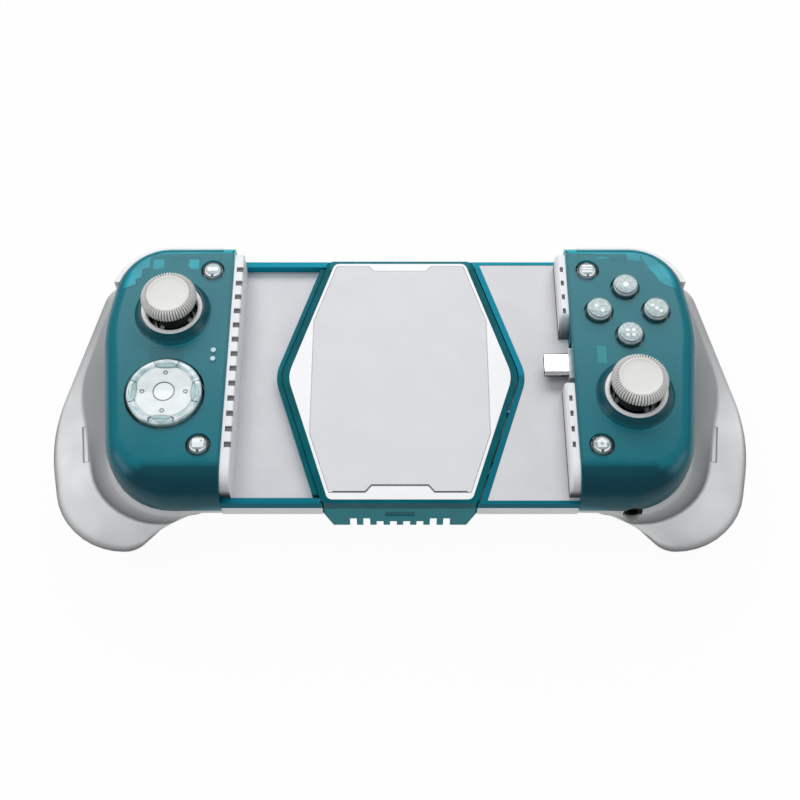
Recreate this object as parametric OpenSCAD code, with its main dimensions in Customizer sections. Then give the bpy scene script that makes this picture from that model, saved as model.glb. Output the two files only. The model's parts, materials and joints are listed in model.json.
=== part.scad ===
// Telescopic phone controller: two hand pads on a six-sided sliding bridge, shown closed.
// X runs along the phone, +Y points away from the player, +Z is up, and the grips stand on Z = 0.

/* [Phone bay] */
// Clear length between the two rails when closed
bay_length = 104; // [100:1:112]
// How far each half slides outwards
slide_travel = 38; // [30:1:38]
// Depth of the phone deck below the pad faces
deck_drop = 8.4; // [8:0.1:9]
// How much lower the left tray floor lies than the right one
floor_step = 3; // [2.8:0.1:3.4]
// Width of the notched rail beside the phone
rail_width = 3.2; // [2.6:0.1:4]

/* [Pads] */
// Depth of a pad from the near edge to the far edge
pad_depth = 92; // [90:0.5:96]
// Width of a pad face from the rail to its bulge
pad_width = 41.6; // [40.5:0.1:44]
// Height of the pad faces above the table
face_height = 49; // [46:0.5:54]
// Depth of the parting line below the pad faces
split_drop = 12; // [11.8:0.1:12.6]
// Wall of both shells
shell_wall = 2; // [1.6:0.1:2.2]
// Fillet along the outer edge of a pad
outer_fillet = 6; // [4:0.5:8]
// Fillet along the near edge of a pad
near_fillet = 11; // [8:0.5:11]
// Fillet along the far edge of a pad
far_fillet = 4; // [3:0.5:6]

/* [Grips] */
// How far the grip flares out past the pad
grip_flare = 18; // [16:0.1:20]
// How far the grip heel reaches past the near edge of the pad
grip_heel = 8; // [7:0.1:10]
// Depth of the widest line of the grip below the pad face
grip_drop = 24; // [23:0.5:26]

/* [Sticks] */
// Radius of the stick cap over its ribs
cap_radius = 8.95; // [8:0.05:9.4]
// Height of the cap top above the pad face
cap_rise = 10.5; // [10:0.1:12]
// Thickness of the cap rim
cap_thick = 4.5; // [3.5:0.1:5]
// Number of ribs round the cap
cap_ribs = 56; // [40:2:64]
// Depth of the stick pivot below the pad face
pivot_drop = 8.5; // [8.3:0.1:8.8]
// Radius of the white ring round the stick
ring_radius = 10.05; // [9.8:0.05:10.6]
// Height of the collar round the stick above the pad face
collar_rise = 2; // [1.6:0.1:2.1]

/* [Buttons] */
// Distance from the pad edge to the middle of the main controls
control_x = 18.7; // [18:0.1:20]
// Place of the upper main control, from the middle to the far edge
upper_place = 0.4261; // [0.41:0.001:0.45]
// Place of the lower main control, from the middle to the near edge
lower_place = 0.237; // [0.23:0.001:0.25]
// Distance from the middle of the face buttons to each of them
face_arm = 9.25; // [9:0.05:9.8]
// Radius of a face button
face_radius = 4.4; // [4:0.05:4.6]
// Height of the face buttons above the pad
face_rise = 2.3; // [1.6:0.1:3]
// Radius of the directional pad
dpad_radius = 12.05; // [11:0.05:12.3]
// Height of the directional pad above the pad face
dpad_rise = 2.1; // [1.6:0.1:2.6]
// Radius of a small button
small_radius = 3.5; // [3:0.05:3.8]
// Distance from the pad edge to the small buttons
small_x = 6.8; // [6.5:0.1:7.2]
// Distance from the far edge to the far small buttons
small_far_in = 10.3; // [10.2:0.1:11.5]
// Distance from the near edge to the near small buttons
small_near_in = 17; // [16.4:0.1:17.4]

/* [Plug] */
// Width of the plug
plug_width = 8.25; // [8:0.05:8.6]
// Thickness of the plug
plug_thick = 2.4; // [2.2:0.05:2.6]
// How far the plug stands into the bay past the rail
plug_reach = 5.7; // [5:0.1:7]
// Place of the plug along the rail
plug_y = 1.9; // [1:0.1:3]
// Height of the plug axis above the phone deck
plug_lift = 3.8; // [3.4:0.1:4.2]
// Bore radius of the audio jack
jack_bore = 1.78; // [1.76:0.01:1.85]

/* [Bridge] */
// Half width of the bridge at its two ends
bridge_end_half = 24; // [22:0.5:26]
// Half width of the bridge at its middle corners
bridge_mid_half = 38.5; // [37:0.5:40]
// Height of the comb feet from the deck down
comb_height = 16.5; // [16:0.1:17.2]
// Pitch of the comb slots
comb_pitch = 4.2; // [4:0.1:4.4]

/* [Triggers] */
// Width of a trigger
trigger_width = 21.5; // [18:0.5:22]
// Radius of the trigger's finger face
trigger_face_radius = 15; // [14.5:0.1:15.5]

/* [Hidden] */
$fn = 48;

// Clearances
slip = 0.05;
run_gap = 0.3;
slide_gap = 0.4;
button_gap = 0.4;
over = 1;
// Longer than any half, for cutting shapes
ample = 150;

// Places along X and Y
rail_x = bay_length / 2;
pad_x = rail_x + rail_width;
half_depth = pad_depth / 2;
tray_half = half_depth - 1;
tray_wall_in = tray_half - 2.1;
slide_half = tray_wall_in - slide_gap;
floor_half = tray_half - 1.2;
upper_at = [pad_x + control_x, upper_place * half_depth];
lower_at = [pad_x + control_x, -lower_place * half_depth];
small_far_at = [pad_x + small_x, half_depth - small_far_in];
small_near_at = [pad_x + small_x, small_near_in - half_depth];

// Levels of the stacked plates, from the deck down
deck_z = face_height - deck_drop;
plate_t = 1.2;
lower_plate_t = 1.4;
bridge_plate_top = deck_z - 0.1;
bridge_plate_low = bridge_plate_top - plate_t;
frame_ledge_t = 0.5;
frame_low = bridge_plate_low - frame_ledge_t;
rim_z = deck_z - 0.4;
right_floor_z = deck_z - 0.6;
right_floor_low = right_floor_z - plate_t;
left_floor_z = right_floor_z - floor_step;
left_plate_low = left_floor_z - plate_t;
right_slide_top = left_plate_low - slide_gap;
right_slide_low = right_slide_top - lower_plate_t;
tray_base_top = right_slide_low - run_gap;
tray_base_low = tray_base_top - plate_t;
bridge_base_top = right_slide_low - slide_gap;
bridge_base_low = bridge_base_top - 1.6;
split_z = face_height - split_drop;
under_face = face_height - shell_wall;

// Circuit boards
board_t = 1.2;
board_top = split_z - 1;
board_low = board_top - board_t;
board_x = pad_x + 3.4;
board_far = half_depth - 11.6;
board_tab_far = half_depth - 6;
board_tab_x = pad_x + 8.8;

// Corner points of the shells' level lines, in counter-clockwise order for the right hand
outline_steps = [3, 4, 6, 9, 8, 9, 3];
inner_x = pad_x - 20;
bulge_y = 14;
bulge_x = pad_x + pad_width;
near_corner_x = bulge_x - 7.5;
far_corner_x = bulge_x - 4.4;
pad_corners = [[inner_x, 0.5 - half_depth], [pad_x + 6, 0.1 - half_depth], [pad_x + 12, -half_depth],
    [near_corner_x, -half_depth], [bulge_x, bulge_y], [far_corner_x, half_depth],
    [inner_x, half_depth]];
pad_radii = [14, 150, 150, 22, 60, 18, 14];
wing_x = bulge_x + grip_flare;
wing_y = -14;
heel_y = -half_depth - grip_heel;
wing_corners = [[inner_x, 8 - half_depth], [pad_x + 14.8, 6 - half_depth], [pad_x + 27.8, heel_y],
    [wing_x - 9, heel_y], [wing_x, wing_y], [wing_x - 13.5, half_depth - 1], [inner_x, half_depth - 1]];
wing_radii = [14, 10, 9, 25, 62, 9, 14];
neck_corners = [[pad_x + 15, -30], [pad_x + 16.5, 7 - half_depth], [pad_x + 28.5, heel_y + 2],
    [wing_x - 11, heel_y + 1.8], [wing_x - 1.4, wing_y - 1], [wing_x - 16, 38], [pad_x + 18, 38]];
neck_radii = [12, 10, 9, 23, 56, 12, 12];
foot_corners = [[wing_x - 33.6, -16], [wing_x - 30.6, -34], [wing_x - 23.6, -41],
    [wing_x - 14.6, -41.5], [wing_x - 7.1, wing_y], [wing_x - 16.6, 16], [wing_x - 30.6, 16]];
foot_radii = [14, 10, 8, 7, 20, 7, 7];

// Trigger and bumper places
trigger_mid_x = bulge_x - 19.05;
trigger_pivot = [half_depth - 7.5, face_height - 15.5];
trigger_centre = [-heel_y - trigger_face_radius, face_height - 25.5];
trigger_wall = 2.4;
hub_radius = 2.6;
pin_radius = 1;
cheek_t = 2.2;
cheek_low = split_z - 8;
pocket_y = half_depth - 13;
pocket_t = 1.2;
trigger_lo = trigger_mid_x - trigger_width / 2;
trigger_hi = trigger_mid_x + trigger_width / 2;
spring_lo = trigger_mid_x - 2;
spring_hi = trigger_mid_x + 2;
bumper_top = face_height - 3;
bumper_low = split_z + 0.5;
bumper_start_x = pad_x + 4.4;
bumper_end_y = half_depth - 13;
bumper_pin_at = [pad_x + 6.3, half_depth - 3.4];
bumper_proud = 0.9;
bumper_depth = 3.4;
bumper_swing = 1.4;
bumper_push_x = bulge_x - 12.8;

// Screws: two under the belly and one deep in the grip
screw_places = [[pad_x + 6.3, small_far_at.y - 7.7], [pad_x + 6.3, small_near_at.y - 8], [bulge_x - 12.3, -29]];
screw_radius = 0.9;
boss_radius = 2.6;
head_radius = 2;

// Rack and pinion
pinion_radius = 6;
teeth = 12;
tooth_pitch = 2 * PI * pinion_radius / teeth;
tooth_module = 2 * pinion_radius / teeth;
rack_addendum = 0.65 * tooth_module;
pinion_addendum = 0.8 * tooth_module;
dedendum = 1.05 * tooth_module;
backlash = 0.3;
pressure = 20;
plate_end_x = slide_travel + 11;
slot_end_x = slide_travel + 8.5;
slot_start_x = -9;
slot_far = pinion_radius + 2.2;
guide_y = slide_half - 6.5;
guide_radius = 2.1;
guide_slot = guide_radius + slide_gap;
plate_root_x = pad_x + 3;

// Springs and ribbon between the halves
spring_y = 12;
spring_post_x = 10;
spring_anchor_x = rail_x - 1.5;
post_radius = 0.6;
spring_radius = 0.75;
ribbon_y = 20 - half_depth;
ribbon_width = 8;
ribbon_t = 0.2;
ribbon_turn_x = 6;

// Plug carrier
plug_z = deck_z + plug_lift;
plug_root_x = rail_x + 2;
carrier_pivot_x = pad_x + 5.3;
carrier_half = plug_width / 2 + 1.4;
carrier_pin = 1.1;
carrier_window = carrier_half + 3.2;
carrier_top = face_height - 3.2;
carrier_low = plug_z - 2.2;
rail_gap = [-6.4, 14.2];

// Audio jack
jack_at = [pad_x + 16.8, face_height - 13.2];
jack_collar = 2.7;
jack_length = 12;

// A rounded corner as points with their outward normals, for a counter-clockwise outline moved out by grow
min_round = 0.3;
function unit(v) = v / norm(v);
function right_of(v) = [v.y, -v.x];
function corner(p0, p1, p2, r, steps, grow) =
    let (a = unit(p1 - p0), b = unit(p2 - p1), side = cross(a, b) < 0 ? -1 : 1,
        turn = acos(min(1, max(-1, a * b))), round = max(r + side * grow, min_round), out = right_of(a),
        tip = p1 + grow * (out + right_of(b)) / (1 + a * b), start = tip - a * round * tan(turn / 2),
        centre = start - side * round * out, from = atan2(out.y, out.x))
    [for (i = [0:steps]) let (angle = from + side * turn * i / steps, n = [cos(angle), sin(angle)])
        [each centre + side * round * n, each n]];
// Radii of an outline, made smaller where two corners would overlap on the edge between them
corner_room = 0.995;
function reach_of(p0, p1, p2, r) =
    let (a = unit(p1 - p0), b = unit(p2 - p1)) r * tan(acos(min(1, max(-1, a * b))) / 2);
function fitted(corners, radii) =
    let (n = len(corners), room = [for (i = [0:n - 1]) corner_room * norm(corners[(i + 1) % n] - corners[i])],
        reach = [for (i = [0:n - 1]) reach_of(corners[(i + n - 1) % n], corners[i], corners[(i + 1) % n], radii[i])],
        share = [for (i = [0:n - 1]) min(1, room[i] / (reach[i] + reach[(i + 1) % n]))])
    [for (i = [0:n - 1]) radii[i] * min(share[i], share[(i + n - 1) % n])];
function outline(corners, radii, steps, grow = 0) =
    let (n = len(corners), fit = fitted(corners, radii))
    [for (i = [0:n - 1])
        each corner(corners[(i + n - 1) % n], corners[i], corners[(i + 1) % n], fit[i], steps[i], grow)];
function flat(o) = [for (q = o) [q[0], q[1]]];
function pad_line(grow) = outline(pad_corners, pad_radii, outline_steps, grow);
function wing_line(grow) = outline(wing_corners, wing_radii, outline_steps, grow);
function neck_line(grow) = outline(neck_corners, neck_radii, outline_steps, grow);
function foot_line(grow) = outline(foot_corners, foot_radii, outline_steps, grow);
function mixed(a, b, share) = [for (i = [0:len(a) - 1]) a[i] * (1 - share) + b[i] * share];
function level(o, z) = [for (q = o) [q[0], q[1], z]];
function arc_points(c, r, a0, a1, steps) =
    [for (i = [0:steps]) c + r * [cos(a0 + (a1 - a0) * i / steps), sin(a0 + (a1 - a0) * i / steps)]];

// A closed solid through level lines that all have as many points, lowest first
module loft(rings) {
    n = len(rings[0]);
    last = len(rings) - 1;
    sides = [for (j = [0:last - 1]) for (i = [0:n - 1]) let (k = (i + 1) % n)
        each [[j * n + i, j * n + n + i, j * n + n + k], [j * n + i, j * n + n + k, j * n + k]]];
    low = [for (i = [0:n - 1]) i];
    high = [for (i = [n - 1:-1:0]) last * n + i];
    polyhedron(points = [for (r = rings) each r], faces = concat([low, high], sides));
}

// Everything to the outer side of a plane across X
module beyond(x) {
    intersection() {
        translate([x, -ample, -over]) cube([ample, 2 * ample, ample]);
        children();
    }
}

// The rounded upper body of a pad, drawn in by inset on all sides
fillet_steps = 7;
function fillet_at(q) = outer_fillet * pow(max(q[2], 0), 2) + (q[3] > 0 ? far_fillet : near_fillet) * q[3] * q[3];
module pad_dome(inset, low) {
    line = pad_line(-inset);
    function ring(k) = let (a = 90 * k / fillet_steps)
        [for (q = line) let (r = max(fillet_at(q) - inset, 0.6), back = r * (1 - cos(a)))
            [q[0] - back * q[2], q[1] - back * q[3], face_height - inset - r * (1 - sin(a))]];
    loft([level(line, low), for (k = [0:fillet_steps]) ring(k)]);
}

// The lower body of a pad with its grip, drawn in by inset on all sides and lifted by rise at the bottom
foot_round = 5;
neck_drop = 6;
module grip_body(inset, rise, top) {
    pad = pad_line(-inset);
    wing = wing_line(-inset);
    neck = neck_line(-inset);
    foot = foot_line(-inset);
    belly_z = face_height - grip_drop;
    neck_z = belly_z - neck_drop;
    rim_low = split_z - 1;
    base = [for (i = [0:3]) let (a = 30 * i)
        level(foot_line(-inset - foot_round * (1 - sin(a))), rise + foot_round * (1 - cos(a)))];
    lower = [for (u = [0.25:0.25:0.75])
        level(mixed(foot, neck, pow(u, 0.8)), rise + foot_round + (neck_z - foot_round) * u)];
    under = [for (u = [0:0.25:0.75])
        level(mixed(neck, wing, sin(90 * u)), neck_z + neck_drop * u + rise * (1 - 0.6 * u))];
    upper = [for (u = [0:0.2:1])
        level(mixed(wing, pad, (1 - cos(180 * u)) / 2), belly_z + (rim_low - belly_z) * u + 0.4 * rise * (1 - u))];
    loft(concat(base, lower, under, upper, [level(pad, top)]));
}

// Screw bosses and screws
module at_screws() {
    for (p = screw_places) translate([p.x, p.y, 0]) children();
}
module screw(head_z, tip_z) {
    translate([0, 0, head_z]) cylinder(r = screw_radius, h = tip_z - head_z);
    difference() {
        translate([0, 0, head_z - 1.4]) cylinder(r = head_radius, h = 1.4);
        translate([0, 0, head_z - 2]) cylinder(r = 0.8, h = 1.2, $fn = 6);
    }
}
screw_head_z = board_low - 3.2;
module half_screws() {
    at_screws() screw(screw_head_z, under_face - 4.5);
}

// The floor outline of a tray, from the bridge to the pad
module bridge_outline(grow) {
    m = bridge_mid_half;
    e = bridge_end_half;
    t = tray_half;
    polygon(flat(outline([[e, -t], [m, 0], [e, t], [-e, t], [-m, 0], [-e, -t]],
        [2, 12, 2, 2, 12, 2], [3, 8, 3, 3, 8, 3], grow)));
}
// The opening in the bridge's top: its strips are wider along the sides than at the two ends
side_strip = 2;
far_strip = 0.8;
near_strip = 1.3;
module bridge_opening(grow) {
    lean = (bridge_mid_half - bridge_end_half) / tray_half;
    m = bridge_mid_half - side_strip * sqrt(1 + lean * lean);
    far = tray_half - far_strip;
    near = tray_half - near_strip;
    polygon(flat(outline([[m - lean * near, -near], [m, 0], [m - lean * far, far], [lean * far - m, far], [-m, 0],
        [lean * near - m, -near]], [2, 12, 2, 2, 12, 2], [3, 8, 3, 3, 8, 3], grow)));
}
module tray_area(gap, half, rooted = 0) {
    difference() {
        translate([0, -half]) square([pad_x + rooted, 2 * half]);
        bridge_outline(gap);
    }
}

// Front shell: domed pad, tray rims, screw bosses and the openings that both hands share
collar_foot = 12.3;
collar_wall = 0.6;
ring_seat = 3.4;
well_radius = 8.8;
bridge_gap = 0.5;
// How far the tray rims run into the pad wall that carries them
rim_root = shell_wall / 2;
module stick_well() {
    translate([0, 0, face_height - ring_seat])
        cylinder(r = ring_radius + slip, h = ring_seat + collar_rise + over);
    translate([0, 0, face_height - 8]) cylinder(r = well_radius, h = 8);
}
module stick_collar() {
    top_radius = ring_radius + slip + collar_wall;
    translate([0, 0, face_height - 5]) cylinder(r = collar_foot + 0.2, h = 4);
    rotate_extrude() polygon([[0, face_height - 1.5], [collar_foot, face_height - 1.5], [collar_foot, face_height],
        [top_radius, face_height + collar_rise], [0, face_height + collar_rise]]);
}
module face_hole(p, r) {
    translate([p.x, p.y, under_face - over]) cylinder(r = r, h = shell_wall + 2 * over);
}
module bumper_area(outside, inside, end_y, start_x) {
    intersection() {
        difference() {
            polygon(flat(pad_line(outside)));
            polygon(flat(pad_line(-inside)));
        }
        translate([start_x, end_y]) square([60, 40]);
    }
}
module front_shell() {
    difference() {
        union() {
            difference() {
                beyond(pad_x) pad_dome(0, split_z);
                beyond(pad_x + shell_wall) pad_dome(shell_wall, split_z - over);
            }
            at_screws() translate([0, 0, board_top]) cylinder(r = boss_radius, h = under_face + 0.4 - board_top);
            translate([bumper_pin_at.x, bumper_pin_at.y, bumper_top + 0.1])
                cylinder(r = 2.2, h = under_face + 0.5 - bumper_top - 0.1);
            children(0);
        }
        at_screws() translate([0, 0, board_top - over])
            cylinder(r = screw_radius + slip, h = under_face - 4 - board_top + over);
        translate([0, 0, split_z - over]) linear_extrude(bumper_top + 0.1 - split_z + over)
            bumper_area(3, bumper_depth + bumper_swing, bumper_end_y - bumper_swing, bumper_start_x - 0.5);
        translate([bumper_pin_at.x, bumper_pin_at.y, bumper_top - over])
            cylinder(r = pin_radius + slip, h = 1.9);
        for (p = [small_far_at, small_near_at]) face_hole(p, small_radius + button_gap);
        children(1);
    }
}

// Rear shell: grip, screw posts, trigger cheeks and the bumper's lower bearing
module rear_shell(plate_low) {
    window_lo = trigger_lo - slide_gap;
    window_hi = trigger_hi + slide_gap;
    difference() {
        union() {
            difference() {
                beyond(pad_x) grip_body(0, 0, split_z);
                beyond(pad_x + shell_wall) grip_body(shell_wall, 2.2, split_z + over);
                translate([window_lo, pocket_y, face_height - 36]) cube([window_hi - window_lo, 30, 36]);
            }
            intersection() {
                union() {
                    for (x = [window_lo - cheek_t, window_hi]) {
                        translate([x, pocket_y, cheek_low]) cube([cheek_t, 20, board_low - 0.2 - cheek_low]);
                        translate([x, board_far + 0.2, cheek_low]) cube([cheek_t, 20, split_z - 0.2 - cheek_low]);
                    }
                    translate([window_lo - cheek_t, pocket_y - pocket_t, 0])
                        cube([window_hi - window_lo + 2 * cheek_t, pocket_t, board_low - 0.2]);
                    at_screws() cylinder(r = boss_radius + 0.6, h = board_low);
                    translate([bumper_pin_at.x, bumper_pin_at.y, split_z - 5]) cylinder(r = 2.4, h = 5);
                }
                beyond(pad_x) grip_body(0.3, 0, split_z);
            }
        }
        at_screws() translate([0, 0, -over]) cylinder(r = head_radius + 0.3, h = screw_head_z + over);
        at_screws() cylinder(r = screw_radius + 0.2, h = face_height);
        translate([window_lo - 10, trigger_pivot.x, trigger_pivot.y]) rotate([0, 90, 0])
            cylinder(r = pin_radius + slip, h = window_hi - window_lo + 20);
        translate([bumper_pin_at.x, bumper_pin_at.y, split_z - 3.5]) cylinder(r = pin_radius + slip, h = 5);
        translate([pad_x - over, -slide_half - slip, plate_low])
            cube([shell_wall + 2 * over, 2 * (slide_half + slip), 10]);
        children();
    }
}

// Trays
module tray_base() {
    translate([0, 0, tray_base_low]) linear_extrude(plate_t) tray_area(bridge_gap, tray_half);
    for (s = [-1, 1]) translate([0, 0, tray_base_low]) linear_extrude(split_z - tray_base_low)
        tray_strip(s, tray_wall_in);
}
module tray_strip(s, inside, rooted = 0) {
    intersection() {
        tray_area(bridge_gap, tray_half, rooted);
        translate([0, s > 0 ? inside : -tray_half]) square([pad_x + rooted, tray_half - inside]);
    }
}

// Sliding plates: both carry a rack that meets the pinion and a slot round each guide boss
function rack_teeth(count) = [for (i = [0:count - 1]) each
    let (x = (i + 0.5) * tooth_pitch, tip = tooth_pitch / 4 - backlash / 2 - rack_addendum * tan(pressure),
        root = tooth_pitch / 4 - backlash / 2 + dedendum * tan(pressure))
    [[x - root, -dedendum], [x - tip, rack_addendum], [x + tip, rack_addendum], [x + root, -dedendum]]];
rack_lead = 2;
rack_count = ceil(slide_travel / tooth_pitch) + 2 * rack_lead;
module slide_plate_area() {
    rack = [for (p = rack_teeth(rack_count)) [p.x - rack_lead * tooth_pitch, p.y - pinion_radius]];
    difference() {
        translate([-plate_root_x, -slide_half]) square([plate_root_x + plate_end_x, 2 * slide_half]);
        polygon(concat([[slot_end_x, slot_far], [slot_start_x, slot_far],
            [slot_start_x, -pinion_radius - dedendum]],
            [for (p = rack) if (p.x > slot_start_x + 0.2 && p.x < slot_end_x - 0.2) p],
            [[slot_end_x, -pinion_radius - dedendum]]));
        for (s = [-1, 1]) {
            translate([0, s * guide_y - guide_slot]) square([slide_travel, 2 * guide_slot]);
            for (x = [0, slide_travel]) translate([x, s * guide_y]) circle(r = guide_slot);
        }
    }
}

// Stick parts, drawn at the stick's own centre
pivot_z = face_height - pivot_drop;
gimbal_half = [5.4, 4.2];
gimbal_open = [3.6, 2.9];
gimbal_t = 0.9;
housing_in = 6.2;
housing_out = 7.4;
housing_top = face_height - 5.4;
trunnion = 0.8;
yoke_pin = 0.7;
yoke_half = [2.6, 2.5, 1.2];
shaft_radius = 1.4;
neck_radius = 3.2;
neck_low = pivot_z + 4.9;
cap_top = face_height + cap_rise;
cap_low = cap_top - cap_thick;
module x_pin(r, x0, x1) {
    translate([x0, 0, 0]) rotate([0, 90, 0]) cylinder(r = r, h = x1 - x0);
}
module y_pin(r, y0, y1) {
    translate([0, y0, 0]) rotate([-90, 0, 0]) cylinder(r = r, h = y1 - y0);
}
module stick_ring_shape() {
    low = face_height - ring_seat;
    inner = well_radius - 0.5;
    bend = 0.7;
    bend_z = face_height + collar_rise - bend;
    rotate_extrude() polygon(concat([[inner, low], [ring_radius, low]],
        arc_points([ring_radius - bend, bend_z], bend, 0, 90, 4),
        arc_points([inner + bend, bend_z], bend, 90, 180, 4)));
}
module stick_housing_shape() {
    difference() {
        translate([-housing_out, -housing_out, board_top])
            cube([2 * housing_out, 2 * housing_out, housing_top - board_top]);
        translate([-housing_in, -housing_in, board_top + 0.8])
            cube([2 * housing_in, 2 * housing_in, housing_top - board_top - 1.4]);
        translate([0, 0, pivot_z]) cylinder(r = 6.1, h = 10);
        translate([0, 0, pivot_z]) x_pin(trunnion + slip, -10, 10);
    }
}
module stick_gimbal_shape() {
    translate([0, 0, pivot_z]) difference() {
        union() {
            translate([-gimbal_half.x, -gimbal_half.y, -gimbal_t])
                cube([2 * gimbal_half.x, 2 * gimbal_half.y, 2 * gimbal_t]);
            for (s = [0, 1]) mirror([s, 0, 0]) x_pin(trunnion, gimbal_half.x - 0.5, housing_out - 0.2);
        }
        translate([-gimbal_open.x, -gimbal_open.y, -over])
            cube([2 * gimbal_open.x, 2 * gimbal_open.y, 2 * over]);
        y_pin(yoke_pin + slip, -10, 10);
    }
}
module stick_yoke_shape() {
    translate([0, 0, pivot_z]) difference() {
        union() {
            translate([-yoke_half.x, -yoke_half.y, -yoke_half.z]) cube(2 * yoke_half);
            y_pin(yoke_pin, -gimbal_half.y, gimbal_half.y);
        }
        translate([0, 0, -5]) cylinder(r = shaft_radius + slip, h = 10);
    }
}
module stick_shaft_shape() {
    translate([0, 0, pivot_z - 2]) cylinder(r = shaft_radius, h = cap_low - pivot_z + 2);
}
module stick_cap_shape() {
    core = cap_radius - 0.45;
    band = 0.7;
    difference() {
        union() {
            rotate_extrude() polygon([[0, neck_low], [neck_radius, neck_low], [neck_radius, cap_low - 1.2],
                [neck_radius + 1.2, cap_low], [core - 0.6, cap_low], [core, cap_low + band],
                [core, cap_top - band], [core - 0.6, cap_top], [core - 2.2, cap_top],
                [core - 3.2, cap_top - 0.5], [0, cap_top - 0.7]]);
            translate([0, 0, cap_low + band]) linear_extrude(cap_thick - 2 * band)
                polygon([for (i = [0:2 * cap_ribs - 1]) let (a = 180 * i / cap_ribs)
                    (i % 2 == 0 ? cap_radius : core - 0.05) * [cos(a), sin(a)]]);
        }
        translate([0, 0, neck_low - over]) cylinder(r = shaft_radius + slip, h = cap_low - neck_low + over);
    }
}

// Directional pad parts, drawn at its own centre
dpad_pivot_z = face_height - 3;
dpad_low = face_height - 5;
dpad_flange_top = face_height - 3.9;
dpad_pocket = 5.5;
dpad_pin = 0.6;
hub_half = 1.9;
module dpad_base_shape() {
    difference() {
        union() {
            translate([0, 0, board_top]) cylinder(r = 2.6, h = dpad_pivot_z - 1.9 - board_top);
            intersection() {
                for (s = [0, 1]) mirror([s, 0, 0]) translate([2.2, -1.2, dpad_pivot_z - 3])
                    cube([1.2, 2.4, 4]);
                translate([0, 0, dpad_pivot_z - 3]) cylinder(r = 3.5, h = 4);
            }
            translate([0, 0, dpad_pivot_z - 3.2]) cylinder(r = 3.5, h = 1.3);
        }
        translate([0, 0, dpad_pivot_z]) x_pin(dpad_pin + slip, -10, 10);
    }
}
module dpad_pivot_shape() {
    translate([0, 0, dpad_pivot_z]) {
        translate([-hub_half, -hub_half, -1]) cube([2 * hub_half, 2 * hub_half, 2]);
        x_pin(dpad_pin, -3.3, 3.3);
        y_pin(dpad_pin, -3.5, 3.5);
    }
}
module dpad_shape() {
    top = face_height + dpad_rise;
    difference() {
        union() {
            difference() {
                rotate_extrude() polygon(concat([[0, dpad_low], [dpad_radius + 1.3, dpad_low],
                    [dpad_radius + 1.3, dpad_flange_top], [dpad_radius, dpad_flange_top]],
                    arc_points([dpad_radius - 0.8, top - 0.8], 0.8, 0, 90, 4),
                    [[dpad_radius - 2.6, top], [5, top - 0.9], [0, top - 0.9]]));
                translate([0, 0, dpad_low - over]) cylinder(r = dpad_pocket, h = face_height - 0.6 - dpad_low + over);
                for (a = [45:90:315]) rotate([0, 0, a]) translate([dpad_radius + 1.2, 0, face_height + 0.5])
                    cylinder(r = 2.2, h = 5);
            }
            for (s = [0, 1]) mirror([0, s, 0]) translate([-1.1, 2.4, dpad_pivot_z - 1])
                cube([2.2, 1.2, face_height - dpad_pivot_z + 0.8]);
        }
        translate([0, 0, dpad_pivot_z]) y_pin(dpad_pin + slip, -4, 4);
    }
}

// Buttons
button_stem_low = face_height - 9.6;
module button(p, r, rise, stem, stem_low) {
    flange_top = under_face - run_gap;
    top = face_height + rise;
    translate([p.x, p.y, 0]) {
        rotate_extrude() polygon(concat([[0, flange_top - 0.9], [r + 1.1, flange_top - 0.9],
            [r + 1.1, flange_top], [r, flange_top]],
            arc_points([r - 0.7, top - 0.9], 0.7, 0, 80, 4), [[0, top]]));
        translate([0, 0, stem_low]) cylinder(r = stem, h = flange_top - 0.5 - stem_low);
    }
}
module small_button(p) {
    button(p, small_radius, 0.4, 1.6, face_height - 9.2);
}
module face_button(dx, dy) {
    button(upper_at + face_arm * [dx, dy], face_radius, face_rise, 2.8, button_stem_low);
}

// Circuit board with its switches
module circuit_board() {
    difference() {
        translate([0, 0, board_low]) linear_extrude(board_t) intersection() {
            polygon(flat(pad_line(-shell_wall - 1)));
            union() {
                translate([board_x, -half_depth]) square([ample, board_far + half_depth]);
                translate([board_x, -half_depth]) square([board_tab_x - board_x, board_tab_far + half_depth]);
            }
        }
        at_screws() translate([0, 0, board_low - over]) cylinder(r = screw_radius + 0.2, h = board_t + 2 * over);
        if ($children > 0) children(0);
    }
    for (p = [small_far_at, small_near_at]) translate([p.x - 2.2, p.y - 2.2, board_top]) cube([4.4, 4.4, 2.9]);
    translate([bumper_push_x - 3, board_far - 5.2, board_top]) cube([6, 4.6, 7.5]);
    if ($children > 1) children(1);
}

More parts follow.
